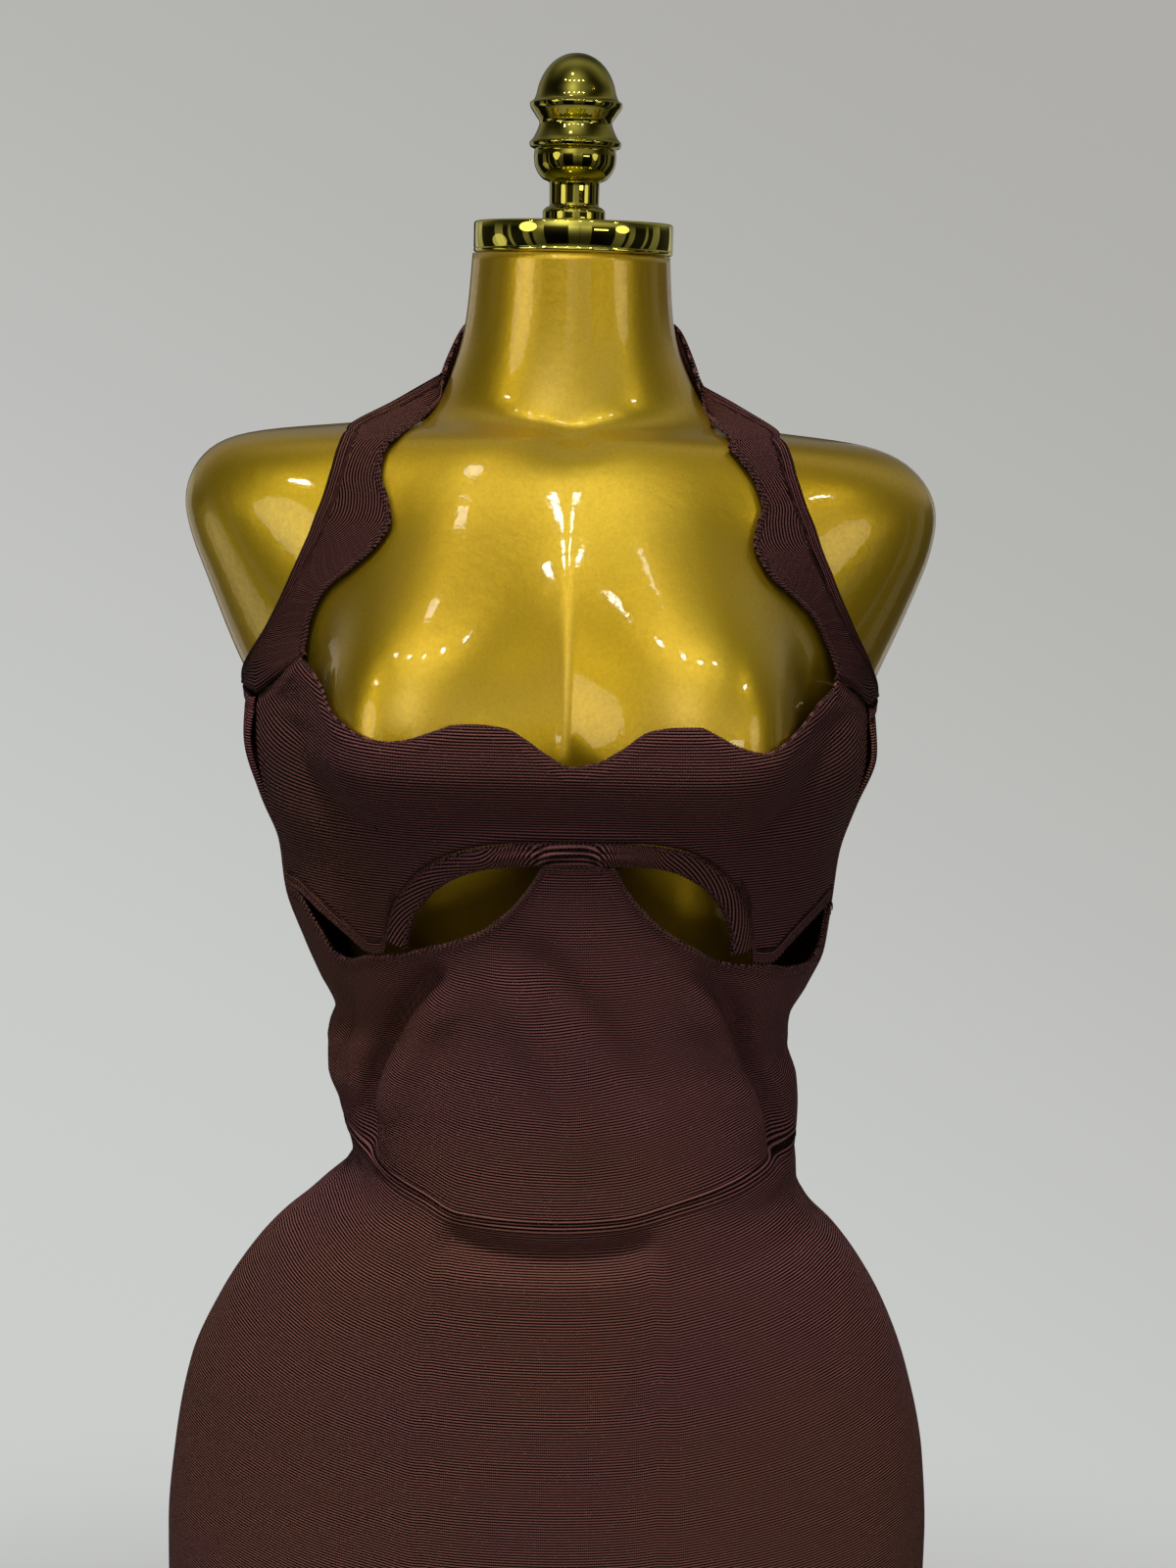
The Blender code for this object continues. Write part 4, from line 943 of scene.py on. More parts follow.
def polished_material(name, colour, deep, rough, marks=0.02):
    mat, t = new_material(name)
    where = t.node("ShaderNodeTexCoord").outputs["Object"]
    tone = t.ramp(t.noise(30.0, 2.0, 0.5, where), 0.35, 0.7)
    smear = t.ramp(t.noise(60.0, 4.0, 0.6, where, stretch=(1.0, 1.0, 6.0)), 0.45, 0.8)
    lathe_lines = t.noise(900.0, 1.0, 0.4, where, stretch=(0.02, 0.02, 1.0))
    r = t.math("MULTIPLY_ADD", smear, marks, rough)
    bumped = t.node("ShaderNodeBump", Height=lathe_lines, Strength=0.12, Distance=0.00004)
    shader = t.node(
        "ShaderNodeBsdfPrincipled", **{"Base Color": t.mix(tone, colour, deep)}, Roughness=r, Normal=bumped.outputs[0],
        **{"Metallic": 1.0},
    )
    finish_material(t, shader)
    return mat


GOLD_WARM, GOLD_COOL = (0.790, 0.500, 0.014), (0.740, 0.500, 0.018)
GOLD_DEEP, GOLD_LIGHT = (0.580, 0.340, 0.008), (0.900, 0.660, 0.060)

# Each knit's first colour is painted shade, laid between its ribs
KNIT = knit_material("knit", (0.004, 0.0012, 0.0013), (0.296, 0.1160, 0.1010), (0.400, 0.190, 0.164))
# The bust panel's knit: the same cloth painted darker, as painted shade where the panel turns down under the cups
KNIT_PAINTED_SHADE = knit_material("knit_bust_painted_shade", (0.004, 0.0012, 0.0012), (0.232, 0.0885, 0.0762), (0.330, 0.154, 0.131))
# The straps' knit: the same cloth painted about half as bright, as painted shade
KNIT_STRAP_SHADED = knit_material("knit_strap_painted_shade", (0.003, 0.0010, 0.0010), (0.150, 0.0572, 0.0490), (0.225, 0.103, 0.088))
KNIT_BAND = knit_material("knit_band", (0.005, 0.0016, 0.0016), (0.240, 0.0930, 0.0800), (0.340, 0.158, 0.136), course=0.0019)
THREAD = thread_material("knit_thread", (0.045, 0.019, 0.017), (0.150, 0.070, 0.062))
PAINT = gold_paint_material()
BRASS = polished_material("polished_brass", (0.760, 0.690, 0.120), (0.700, 0.620, 0.090), 0.030)
# The finial's brass: the cap's brass painted much darker, as painted shade for the darker surroundings it reflects
FINIAL_BRASS_SHADED = polished_material("polished_brass_finial_painted_shade", (0.440, 0.390, 0.066), (0.370, 0.320, 0.046), 0.034)
STEEL = polished_material("gold_steel", (0.780, 0.610, 0.250), (0.720, 0.550, 0.200), 0.22, 0.10)

ROOT = "root"


def own(piece, slot, *nodes):
    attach(piece, ROOT)
    if nodes:
        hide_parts(*nodes)
    return piece


# ------------------------------------------------------------------ dress form


def build_form():
    low, high = FORM[0][0], FORM_TOP_Z
    zs = np.linspace(low, high, 3000)
    run = 0
    for deg in (0, 60, 90, 180, 270, 300):
        th = np.full(zs.shape, math.radians(deg))
        run = run + run_along(place(th, zs, form_radius(th, zs)), 0)
    run += (zs - low) * 2.0
    levels = np.interp(np.linspace(0, run[-1], 262), run, zs)
    steps = 270
    th = np.linspace(0, 2 * math.pi, steps, endpoint=False)[None]
    z = levels[:, None] + 0 * th
    p = place(th + 0 * z, z, form_radius(th + 0 * z, z))
    for _ in range(7):
        q = p.copy()
        q[1:-1] = 0.5 * p[1:-1] + 0.25 * (p[:-2] + p[2:])
        p = q
    form = closed_grid("form_shell", p, PAINT)
    own(form, "gold_paint", "form_torso")


build_form()

# Cap and finial: turned and polished
r_, e_ = CAP_R, 0.0012
cap = [(CAP_LOW, 0.0), (CAP_LOW, r_ - 0.0012), (CAP_LOW + 0.0002, r_ - 0.0006), (CAP_LOW + 0.0006, r_ - 0.0001), (CAP_LOW + 0.0012, r_),
       (CAP_LOW + 0.0019, r_), (CAP_LOW + 0.0021, r_ - 0.0002), (CAP_LOW + 0.0024, r_ - 0.0002), (CAP_LOW + 0.0026, r_),
       (CAP_HIGH - 0.0014, r_), (CAP_HIGH - 0.0007, r_ - 0.0002), (CAP_HIGH - 0.0002, r_ - 0.0007), (CAP_HIGH, r_ - 0.0015),
       (CAP_HIGH, r_ - 0.006), (CAP_HIGH, 0.020), (CAP_HIGH, 0.0)]
own(lathe("cap_disc", cap, 192, BRASS), "polished_brass", "neck_cap")
turned_rows = [(FINIAL_LOW + h, r) for h, r in FINIAL][::-1]
own(lathe("finial_turned", smooth_profile(turned_rows, 5), 96, FINIAL_BRASS_SHADED), "polished_brass", "finial")

# Stand
under = FORM[0][0] - SEAM
flange = [(under - FLANGE_T, 0.0), (under - FLANGE_T, FLANGE_R - 0.0016), (under - FLANGE_T + 0.0004, FLANGE_R - 0.0005),
          (under - FLANGE_T + 0.0014, FLANGE_R), (under - 0.0006, FLANGE_R), (under, FLANGE_R - 0.0005), (under, 0.0)]
own(lathe("flange_plate", flange, 96, STEEL), "gold_steel", "form_flange")
pole_low, pole_high = BASE_T + SEAM, under - FLANGE_T - SEAM
pole = [(pole_low, 0.0), (pole_low, POLE_R - 0.0004), (pole_low + 0.0004, POLE_R), (0.310, POLE_R), (0.3103, POLE_R - 0.0003),
        (0.3109, POLE_R - 0.0003), (0.3112, POLE_R), (pole_high - 0.0004, POLE_R), (pole_high, POLE_R - 0.0004), (pole_high, 0.0)]
own(lathe("pole_tube", pole, 64, STEEL), "gold_steel", "stand_pole")
c0, c1, hole = BASE_T + SEAM, BASE_T + COLLAR_H, POLE_R + SEAM


def ring_lathe(name, profile, steps, mat):
    """A turned ring from a closed round of (height, radius) rows."""
    p = np.array(profile, float)
    th = np.linspace(0, 2 * math.pi, steps, endpoint=False)
    pts = np.stack([p[:, 1:2] * np.cos(th), p[:, 1:2] * np.sin(th), p[:, :1] + 0 * th], -1)
    n = len(p)
    i, j = np.meshgrid(np.arange(n), np.arange(steps), indexing="ij")
    k, m = (j + 1) % steps, (i + 1) % n
    faces = np.stack([i * steps + j, i * steps + k, m * steps + k, m * steps + j], -1).reshape(-1, 4).tolist()
    return make_object(name, pts.reshape(-1, 3), faces, mat)


collar = [(c0, hole), (c0, COLLAR_R - 0.0004), (c0 + 0.0006, COLLAR_R), (c0 + 0.002, COLLAR_R - 0.0002), (c0 + 0.0032, COLLAR_R - 0.0012),
          (c0 + 0.0046, COLLAR_R - 0.0036), (c0 + 0.0066, COLLAR_R - 0.0066), (c0 + 0.0094, COLLAR_R - 0.0094), (c0 + 0.0125, hole + 0.0060),
          (c0 + 0.0150, hole + 0.0060), (c1 - 0.0040, hole + 0.0060), (c1 - 0.0018, hole + 0.0056), (c1 - 0.0006, hole + 0.0048),
          (c1, hole + 0.0036), (c1, hole)]
own(ring_lathe("collar_turned", collar, 96, STEEL), "gold_steel", "stand_collar")
base = [(0.0, 0.0), (0.0, BASE_R - 0.0016), (0.0005, BASE_R - 0.0005), (0.0014, BASE_R), (BASE_T - 0.0040, BASE_R),
        (BASE_T - 0.0026, BASE_R - 0.0003), (BASE_T - 0.0013, BASE_R - 0.0012), (BASE_T - 0.0004, BASE_R - 0.0026),
        (BASE_T, BASE_R - 0.0045), (BASE_T, BASE_R - 0.012), (BASE_T, 0.06), (BASE_T, 0.0)]
own(lathe("base_plate", base, 192, STEEL), "gold_steel", "stand_base")

# ------------------------------------------------------------------ dress

neck_rows, low_rows, top_rows = share_of(NECKLINE), share_of(bust_low_rows()), share_of(MIDRIFF_TOP)
MIDDLE = math.radians(TURN_DEG)
SIDE_GAP = -0.00012 / 0.14     # the seams are sewn shut here


def waist_share(s):
    return waist_z(MIDDLE + s * math.radians(84.0))


def front_grid(low, high, columns, v):
    z_low, z_high = low(columns)[None], high(columns)[None]
    z = z_low + (z_high - z_low) * v[:, None]
    theta = MIDDLE + columns[None] * (np.radians(side_deg(z)) - SIDE_GAP)
    return theta, z


def crowded(n, ends=0.35):
    """Places from 1 down to 0, closer together at both ends."""
    t = np.linspace(0, 1, n)
    return 1 - (t - ends * np.sin(2 * math.pi * t) / (2 * math.pi))


def rolled(distance, high, wide):
    return high * np.exp(-((distance / wide) ** 2))


def groove(distance, at, deep, half):
    return -deep * bump(distance, at, half)


pieces = {}


def girth_of(p):
    """Distance round the piece from its middle line, as at its middle row, for every row."""
    run = run_along(p, 1)[len(p) // 2]
    return np.broadcast_to(run - run[len(run) // 2], p.shape[:2])


def build_bust():
    must = sorted({-1.0, 1.0} | {s for s, _ in low_rows[1:-1]} | {s for s, _ in neck_rows[1:-1]})
    columns = spaced(must, 0.0085)
    v = crowded(84)
    theta, z = front_grid(lambda s: edge(low_rows, s), lambda s: edge(neck_rows, s), columns, v)
    p = body_surface(theta, z)
    out = outward(body_surface, theta, z)
    down, up = run_along(p, 0), from_end(run_along(p, 0), 0)
    side_l, side_r = run_along(p, 1), from_end(run_along(p, 1), 1)
    lift = -0.0009 * np.exp(-((down / 0.0035) ** 2))
    lift = lift + 0.0003 * bump(down, 0.0062, 0.0022)
    # Turned-up hem of the two lower corners
    corner = soft_step(np.abs(columns), 0.50, 0.56)[None]
    lift = lift + corner * (0.0006 * (1 - soft_step(up, 0.0062, 0.0074)) + groove(up, 0.0072, 0.0007, 0.0009))
    # Side seams, and the one along the band
    for d in (side_l, side_r):
        lift = lift + groove(d, 0.0, 0.0010, 0.0016) + 0.0004 * bump(d, 0.0040, 0.0020)
    lift = lift + (1 - corner) * (groove(up, 0.0, 0.0011, 0.0018) + 0.0004 * bump(up, 0.0042, 0.0022))
    q = p + out * lift[..., None]
    # Courses: level in the middle, rising towards the strap corners
    t = np.abs(columns)[None]
    rise = soft_step(z, 1.160, 1.290)
    h = (-0.004 + 0.052 * rise) * np.clip((t - 0.22) / 0.78, 0, 1) ** 1.9
    across = (theta - MIDDLE) * 0.145
    # The hem's stitch lines run along its edge
    hem = corner * (1 - soft_step(up, 0.0066, 0.0076))
    uv = np.stack([across + 0 * z, (z - h - 0.7) * (1 - hem) + 1.15 * up * hem], -1)
    # Painted shade: the bust panel takes the darker copy of the knit
    made = shell("bust_panel", q, grid_out(q), WALL, uv, KNIT_PAINTED_SHADE)
    pieces["bust"] = dict(obj=made, p=q, out=grid_out(q), columns=columns)
    return own(made, "knit", "bust_front")


def build_band():
    rows = np.array(BAND, float)
    t = np.arange(len(rows), dtype=float)
    fine = np.linspace(0, len(rows) - 1, 300)
    path = smooth_table(np.column_stack([t, rows]), fine)
    x, z = np.radians(path[:, 0]) * 0.125, path[:, 1]
    for _ in range(30):
        x[1:-1] = 0.5 * x[1:-1] + 0.25 * (x[:-2] + x[2:])
        z[1:-1] = 0.5 * z[1:-1] + 0.25 * (z[:-2] + z[2:])
    run = unit(np.stack([np.gradient(x), np.gradient(z)], -1))
    side = np.stack([-run[:, 1], run[:, 0]], -1)
    w = np.linspace(1, -1, 25)[:, None] * BAND_HALF * 1.02
    theta = (x[None] + side[None, :, 0] * w) / 0.125
    zz = z[None] + side[None, :, 1] * w
    out = outward(body_surface, theta, zz)
    along = np.concatenate([[0], np.cumsum(np.hypot(np.diff(x), np.diff(z)))])
    middle = along[np.argmin(np.abs(np.degrees(x / 0.125) - TURN_DEG))]
    share = w / BAND_HALF
    bulge = 0.0004 + 0.0017 * (1 - share**2)
    # Gathers in the middle
    near = np.exp(-(((along[None] - middle) / 0.030) ** 4))
    ripple = np.cos(share * math.pi * 2.6 + 0.9 * np.sin((along[None] - middle) / 0.013) + 0.5)
    bulge = bulge + 0.00055 * near * ripple - 0.0003 * near
    q = body_surface(theta, zz) + out * bulge[..., None]
    uv = np.stack([along[None] + 0 * w, (w * 1.25 + 0.0) + 0.35 * along[None] * (1 - near)], -1)
    made = shell("under_bust_band", q, grid_out(q), 0.0026, uv, KNIT_BAND)
    pieces["band"] = dict(obj=made, p=q, out=grid_out(q))
    return own(made, "knit_band", "arch_band")


def creases(theta, z, rows):
    """Soft troughs and ridges along paths of (degrees, height), each with its own depth, width and fading ends."""
    total = np.zeros(np.broadcast(theta, z).shape)
    x, z = np.broadcast_arrays(wrapped(theta) * 0.125, z)
    for depth, wide, path in rows:
        p = np.array(path, float)
        t = np.arange(len(p), dtype=float)
        p = smooth_table(np.column_stack([t, p]), np.linspace(0, len(p) - 1, 8 * len(p)))
        px, pz = wrapped(np.radians(p[:, 0])) * 0.125, p[:, 1]
        run = np.concatenate([[0], np.cumsum(np.hypot(np.diff(px), np.diff(pz)))])
        nearest, share = np.full(x.shape, 9.0), np.zeros(x.shape)
        for k in range(len(px) - 1):
            dx, dz = px[k + 1] - px[k], pz[k + 1] - pz[k]
            along = np.clip(((x - px[k]) * dx + (z - pz[k]) * dz) / (dx * dx + dz * dz), 0, 1)
            far = np.hypot(x - px[k] - along * dx, z - pz[k] - along * dz)
            closer = far < nearest
            nearest = np.where(closer, far, nearest)
            share = np.where(closer, (run[k] + along * (run[k + 1] - run[k])) / run[-1], share)
        fade = np.clip(np.sin(math.pi * np.clip(share, 0, 1)) * 1.6, 0, 1)
        total = total + depth * fade * np.exp(-((nearest / wide) ** 2))
    return total


MIDRIFF_CREASES = (
    # depth   wide    path
    (-0.0065, 0.0055, ((-27.0, 1.1170), (-36.0, 1.0985), (-46.0, 1.0770), (-56.0, 1.0420), (-61.0, 1.0150))),
    (0.0036, 0.0095, ((-20.0, 1.1100), (-29.0, 1.0900), (-38.0, 1.0650), (-46.0, 1.0350), (-50.0, 1.0080))),
    (-0.0052, 0.0055, ((37.0, 1.1140), (48.0, 1.0900), (58.0, 1.0620), (68.0, 1.0300), (73.0, 1.0080))),
    (0.0028, 0.0095, ((30.0, 1.1100), (41.0, 1.0850), (50.0, 1.0570), (58.0, 1.0260), (62.0, 1.0040))),
    (-0.0048, 0.0120, ((-14.0, 1.1380), (-3.0, 1.1160), (8.0, 1.0900), (18.0, 1.0620), (26.0, 1.0360))),
    (0.0036, 0.0125, ((-17.0, 1.1180), (-8.0, 1.0900), (0.0, 1.0620), (6.0, 1.0300), (9.0, 1.0020))),
    (0.0014, 0.0070, ((-62.0, 1.0950), (-67.0, 1.0700), (-70.0, 1.0480))),
    (-0.0030, 0.0070, ((-56.0, 1.1020), (-61.0, 1.0850), (-66.0, 1.0600), (-70.0, 1.0360))),
    (0.0014, 0.0065, ((62.0, 1.0980), (70.0, 1.0780), (76.0, 1.0540))),
    (-0.0022, 0.0060, ((56.0, 1.1020), (65.0, 1.0850), (72.0, 1.0600), (77.0, 1.0360))),
    (-0.0006, 0.0045, ((-72.0, 1.0150), (-66.0, 1.0080), (-58.0, 0.9990))),
    (-0.0006, 0.0045, ((80.0, 1.0150), (72.0, 1.0060), (62.0, 0.9950))),
)
BACK_CREASES = (
    (-0.0010, 0.0060, ((112.0, 1.0920), (135.0, 1.0800), (160.0, 1.0740), (178.0, 1.0760))),
    (0.0007, 0.0055, ((108.0, 1.0790), (132.0, 1.0670), (158.0, 1.0600), (182.0, 1.0610))),
    (-0.0008, 0.0050, ((190.0, 1.0850), (210.0, 1.0830), (235.0, 1.0900), (252.0, 1.0980))),
    (-0.0009, 0.0065, ((118.0, 1.0300), (140.0, 1.0180), (168.0, 1.0140), (196.0, 1.0160))),
    (0.0006, 0.0050, ((205.0, 1.0240), (226.0, 1.0280), (246.0, 1.0360))),
    (-0.0007, 0.0045, ((94.0, 1.1180), (104.0, 1.1050), (118.0, 1.0960))),
    (-0.0007, 0.0045, ((268.0, 1.1180), (256.0, 1.1080), (244.0, 1.1010))),
)
SKIRT_CREASES = (
    (-0.0017, 0.0100, ((-34.0, 0.9790), (-18.0, 0.9725), (0.0, 0.9700), (18.0, 0.9720), (31.0, 0.9780))),
    (0.0005, 0.0100, ((-32.0, 0.9610), (-12.0, 0.9550), (8.0, 0.9540), (28.0, 0.9590))),
    (-0.0005, 0.0040, ((-74.0, 0.9960), (-66.0, 0.9900), (-56.0, 0.9820))),
    (-0.0004, 0.0040, ((80.0, 0.9940), (72.0, 0.9880), (60.0, 0.9810))),
    (-0.0007, 0.0070, ((150.0, 0.9660), (172.0, 0.9600), (196.0, 0.9610), (216.0, 0.9680))),
    (-0.0005, 0.0110, ((-40.0, 0.7260), (-14.0, 0.7160), (14.0, 0.7190), (38.0, 0.7300))),
    (-0.0005, 0.0120, ((140.0, 0.7360), (172.0, 0.7250), (204.0, 0.7270), (228.0, 0.7370))),
)


def midriff_lift(theta, z, columns):
    """The creases of the midriff beside those that the solid has: soft, uneven, and deeper next to the cut-outs."""
    return creases(theta, z, MIDRIFF_CREASES)


def build_midriff():
    must = sorted({-1.0, 1.0} | {s for s, _ in top_rows[1:-1]})
    columns = spaced(must, 0.0088)
    v = crowded(110, 0.3)
    theta, z = front_grid(lambda s: waist_share(s) + SEAM / 2, lambda s: edge(top_rows, s), columns, v)
    p = body_surface(theta, z)
    out = outward(body_surface, theta, z)
    down, up = run_along(p, 0), from_end(run_along(p, 0), 0)
    side_l, side_r = run_along(p, 1), from_end(run_along(p, 1), 1)
    lift = 0.0009 * bump(down, 0.0014, 0.0022) + groove(down, 0.0052, 0.0005, 0.0011)
    lift = lift + 0.0007 * bump(up, 0.0018, 0.0014) + groove(up, 0.0, 0.0010, 0.0011) + groove(up, 0.0042, 0.0004, 0.0009)
    for d in (side_l, side_r):
        lift = lift + groove(d, 0.0, 0.0010, 0.0016) + 0.0004 * bump(d, 0.0040, 0.0020)
    lift = lift + midriff_lift(theta, z, columns)
    q = p + out * lift[..., None]
    seam = waist_share(columns)[None]
    mid_z = float(waist_share(np.array([0.0]))[0])
    c = z - (seam - mid_z) * np.exp(-((z - seam) / 0.075))
    # Higher up, the courses rise towards the sides
    c = c - 0.022 * ((theta - MIDDLE) / math.radians(60.0)) ** 2 * (1 - np.exp(-(z - seam) / 0.030))
    uv = np.stack([girth_of(p), c - 0.7], -1)
    made = shell("midriff_panel", q, grid_out(q), WALL, uv, KNIT)
    pieces["midriff"] = dict(obj=made, p=q, out=grid_out(q), columns=columns)
    return own(made, "knit", "midriff_front")


def back_theta(share, height):
    start = MIDDLE + np.radians(side_deg(height)) + SIDE_GAP
    end = MIDDLE + 2 * math.pi - np.radians(side_deg(height)) - SIDE_GAP
    return start + (end - start) * share


def build_back():
    t = np.linspace(0, 1, 230)[None]
    v = crowded(100)[:, None]
    high = edge(BACK_TOP, np.degrees(back_theta(t, np.full(t.shape, 1.23))))
    low_b = waist_z(back_theta(t, np.full(t.shape, 1.003))) + SEAM / 2
    z = low_b + (high - low_b) * v
    theta = back_theta(t, z)
    p = back_surface(theta, z)
    out = outward(back_surface, theta, z)
    down, up = run_along(p, 0), from_end(run_along(p, 0), 0)
    side_l, side_r = run_along(p, 1), from_end(run_along(p, 1), 1)
    lift = 0.0005 * (1 - soft_step(down, 0.0055, 0.0070)) + groove(down, 0.0066, 0.0007, 0.0009)
    lift = lift + 0.0007 * bump(up, 0.0018, 0.0014) + groove(up, 0.0, 0.0010, 0.0011)
    for d in (side_l, side_r):
        lift = lift + groove(d, 0.0, 0.0010, 0.0016) + 0.0004 * bump(d, 0.0040, 0.0020)
    lift = lift + creases(theta, z, BACK_CREASES)
    q = p + out * lift[..., None]
    hem = 1 - soft_step(down, 0.0060, 0.0070)
    uv = np.stack([theta * 0.125, (z - 0.7) * (1 - hem) + 1.15 * down * hem], -1)
    made = shell("back_panel_cloth", q, grid_out(q), WALL, uv, KNIT)
    pieces["back"] = dict(obj=made, p=q, out=grid_out(q))
    return own(made, "knit", "back_panel")


def skirt_courses(p, z, high):
    """Courses parallel to the seam at the top, nearer level lower down."""
    run = run_along(p, 0)
    total = run[-1:]
    least = total.min()
    return -(run - (1 - np.exp(-run / 0.22)) * 0.72 * (total - least))


def build_skirt(name, node, theta, z, p, across):
    out = outward(body_surface, theta, z)
    down, up = run_along(p, 0), from_end(run_along(p, 0), 0)
    side_l, side_r = run_along(p, 1), from_end(run_along(p, 1), 1)
    lift = 0.0006 * bump(down, 0.0018, 0.0015) + groove(down, 0.0, 0.0010, 0.0011) + groove(down, 0.0044, 0.0005, 0.0010)
    lift = lift + 0.0005 * (1 - soft_step(up, 0.018, 0.021)) + groove(up, 0.0205, 0.0008, 0.0011)
    for d in (side_l, side_r):
        lift = lift + groove(d, 0.0, 0.0010, 0.0016) + 0.0004 * bump(d, 0.0040, 0.0020)
    lift = lift + creases(theta, z, SKIRT_CREASES)
    q = p + out * lift[..., None]
    uv = np.stack([across, skirt_courses(p, z, None) + 0.5], -1)
    made = shell(name, q, grid_out(q), WALL, uv, KNIT)
    pieces[name] = dict(obj=made, p=q, out=grid_out(q))
    return own(made, "knit", node)


def skirt_rows(n):
    """Shares of the skirt's length, closer together at the seam."""
    t = np.linspace(0, 1, n)
    near = 0.30 * t + 0.70 * t**1.7
    return near


def build_skirts():
    columns = np.linspace(-1, 1, 190)
    v = skirt_rows(200)[:, None]
    high = waist_share(columns)[None] - SEAM / 2
    z = high + (HEM_Z - high) * v
    theta = MIDDLE + columns[None] * (np.radians(side_deg(z)) - SIDE_GAP)
    p = body_surface(theta, z)
    front = build_skirt("skirt_front_cloth", "skirt_front", theta, z, p, girth_of(p))
    t = np.linspace(0, 1, 170)[None]
    v = skirt_rows(170)[:, None]
    high = waist_z(back_theta(t, np.full(t.shape, 1.003))) - SEAM / 2
    z = high + (HEM_Z - high) * v
    theta = back_theta(t, z)
    p = body_surface(theta, z)
    back = build_skirt("skirt_back_cloth", "skirt_back", theta, z, p, girth_of(p))
    return front, back


def strap_grid(sign, table, rows_n, cols_n):
    """A strap's points, finer than the solid's but on the same lines, lower end first."""
    rows = np.array(table, float)
    rows[-1, [0, 2]] -= math.degrees(SEAM / 2 / 0.062)
    beyond = strap_corner(sign)
    share = np.linspace(0, 1, cols_n)
    knots = np.array([beyond[0], beyond[2], beyond[3], sign * STRAP_END_DEG])
    deg = np.interp(share, np.linspace(0, 1, 4), knots)
    s = (deg - TURN_DEG) / float(side_deg(1.24))
    first_z = np.where(np.abs(s) < 1, edge(neck_rows, np.clip(s, -1, 1)), 1.2380) + 2 * SEAM + 0.0002

    def across(a, b):
        return a[:, None] + (b - a)[:, None] * share

    theta = np.vstack([np.radians(deg), np.radians(sign * across(rows[:, 2], rows[:, 0]))])
    z = np.vstack([first_z, across(rows[:, 3], rows[:, 1])])
    reach = np.vstack([np.full(cols_n, 0.16), across(rows[:, 6], rows[:, 5])])
    free = np.vstack([np.zeros(cols_n), np.broadcast_to(rows[:, 4:5], (len(rows), cols_n))])
    at = np.concatenate([[0.0], 1.0 + np.arange(len(rows))])
    fine = np.linspace(0, at[-1], rows_n)
    stacked = smooth_table(np.column_stack([at, theta, z, reach, free]), fine)
    theta, z, reach, free = (stacked[:, k * cols_n:(k + 1) * cols_n] for k in range(4))
    free = free[..., None]
    square = outward(form_surface, theta, z)
    on_form = form_surface(theta, z) + square * STRAP_LIFT
    worn = back_surface(theta, np.minimum(z, 1.285))
    w = soft_step(z, 1.245, 1.275)[..., None]
    points = worn * (1 - w) + on_form * w
    points = points * (1 - free) + place(theta, z, reach) * free
    for _ in range(6):
        q = points.copy()
        q[1:-1] = 0.5 * points[1:-1] + 0.25 * (points[:-2] + points[2:])
        points = q
    return points


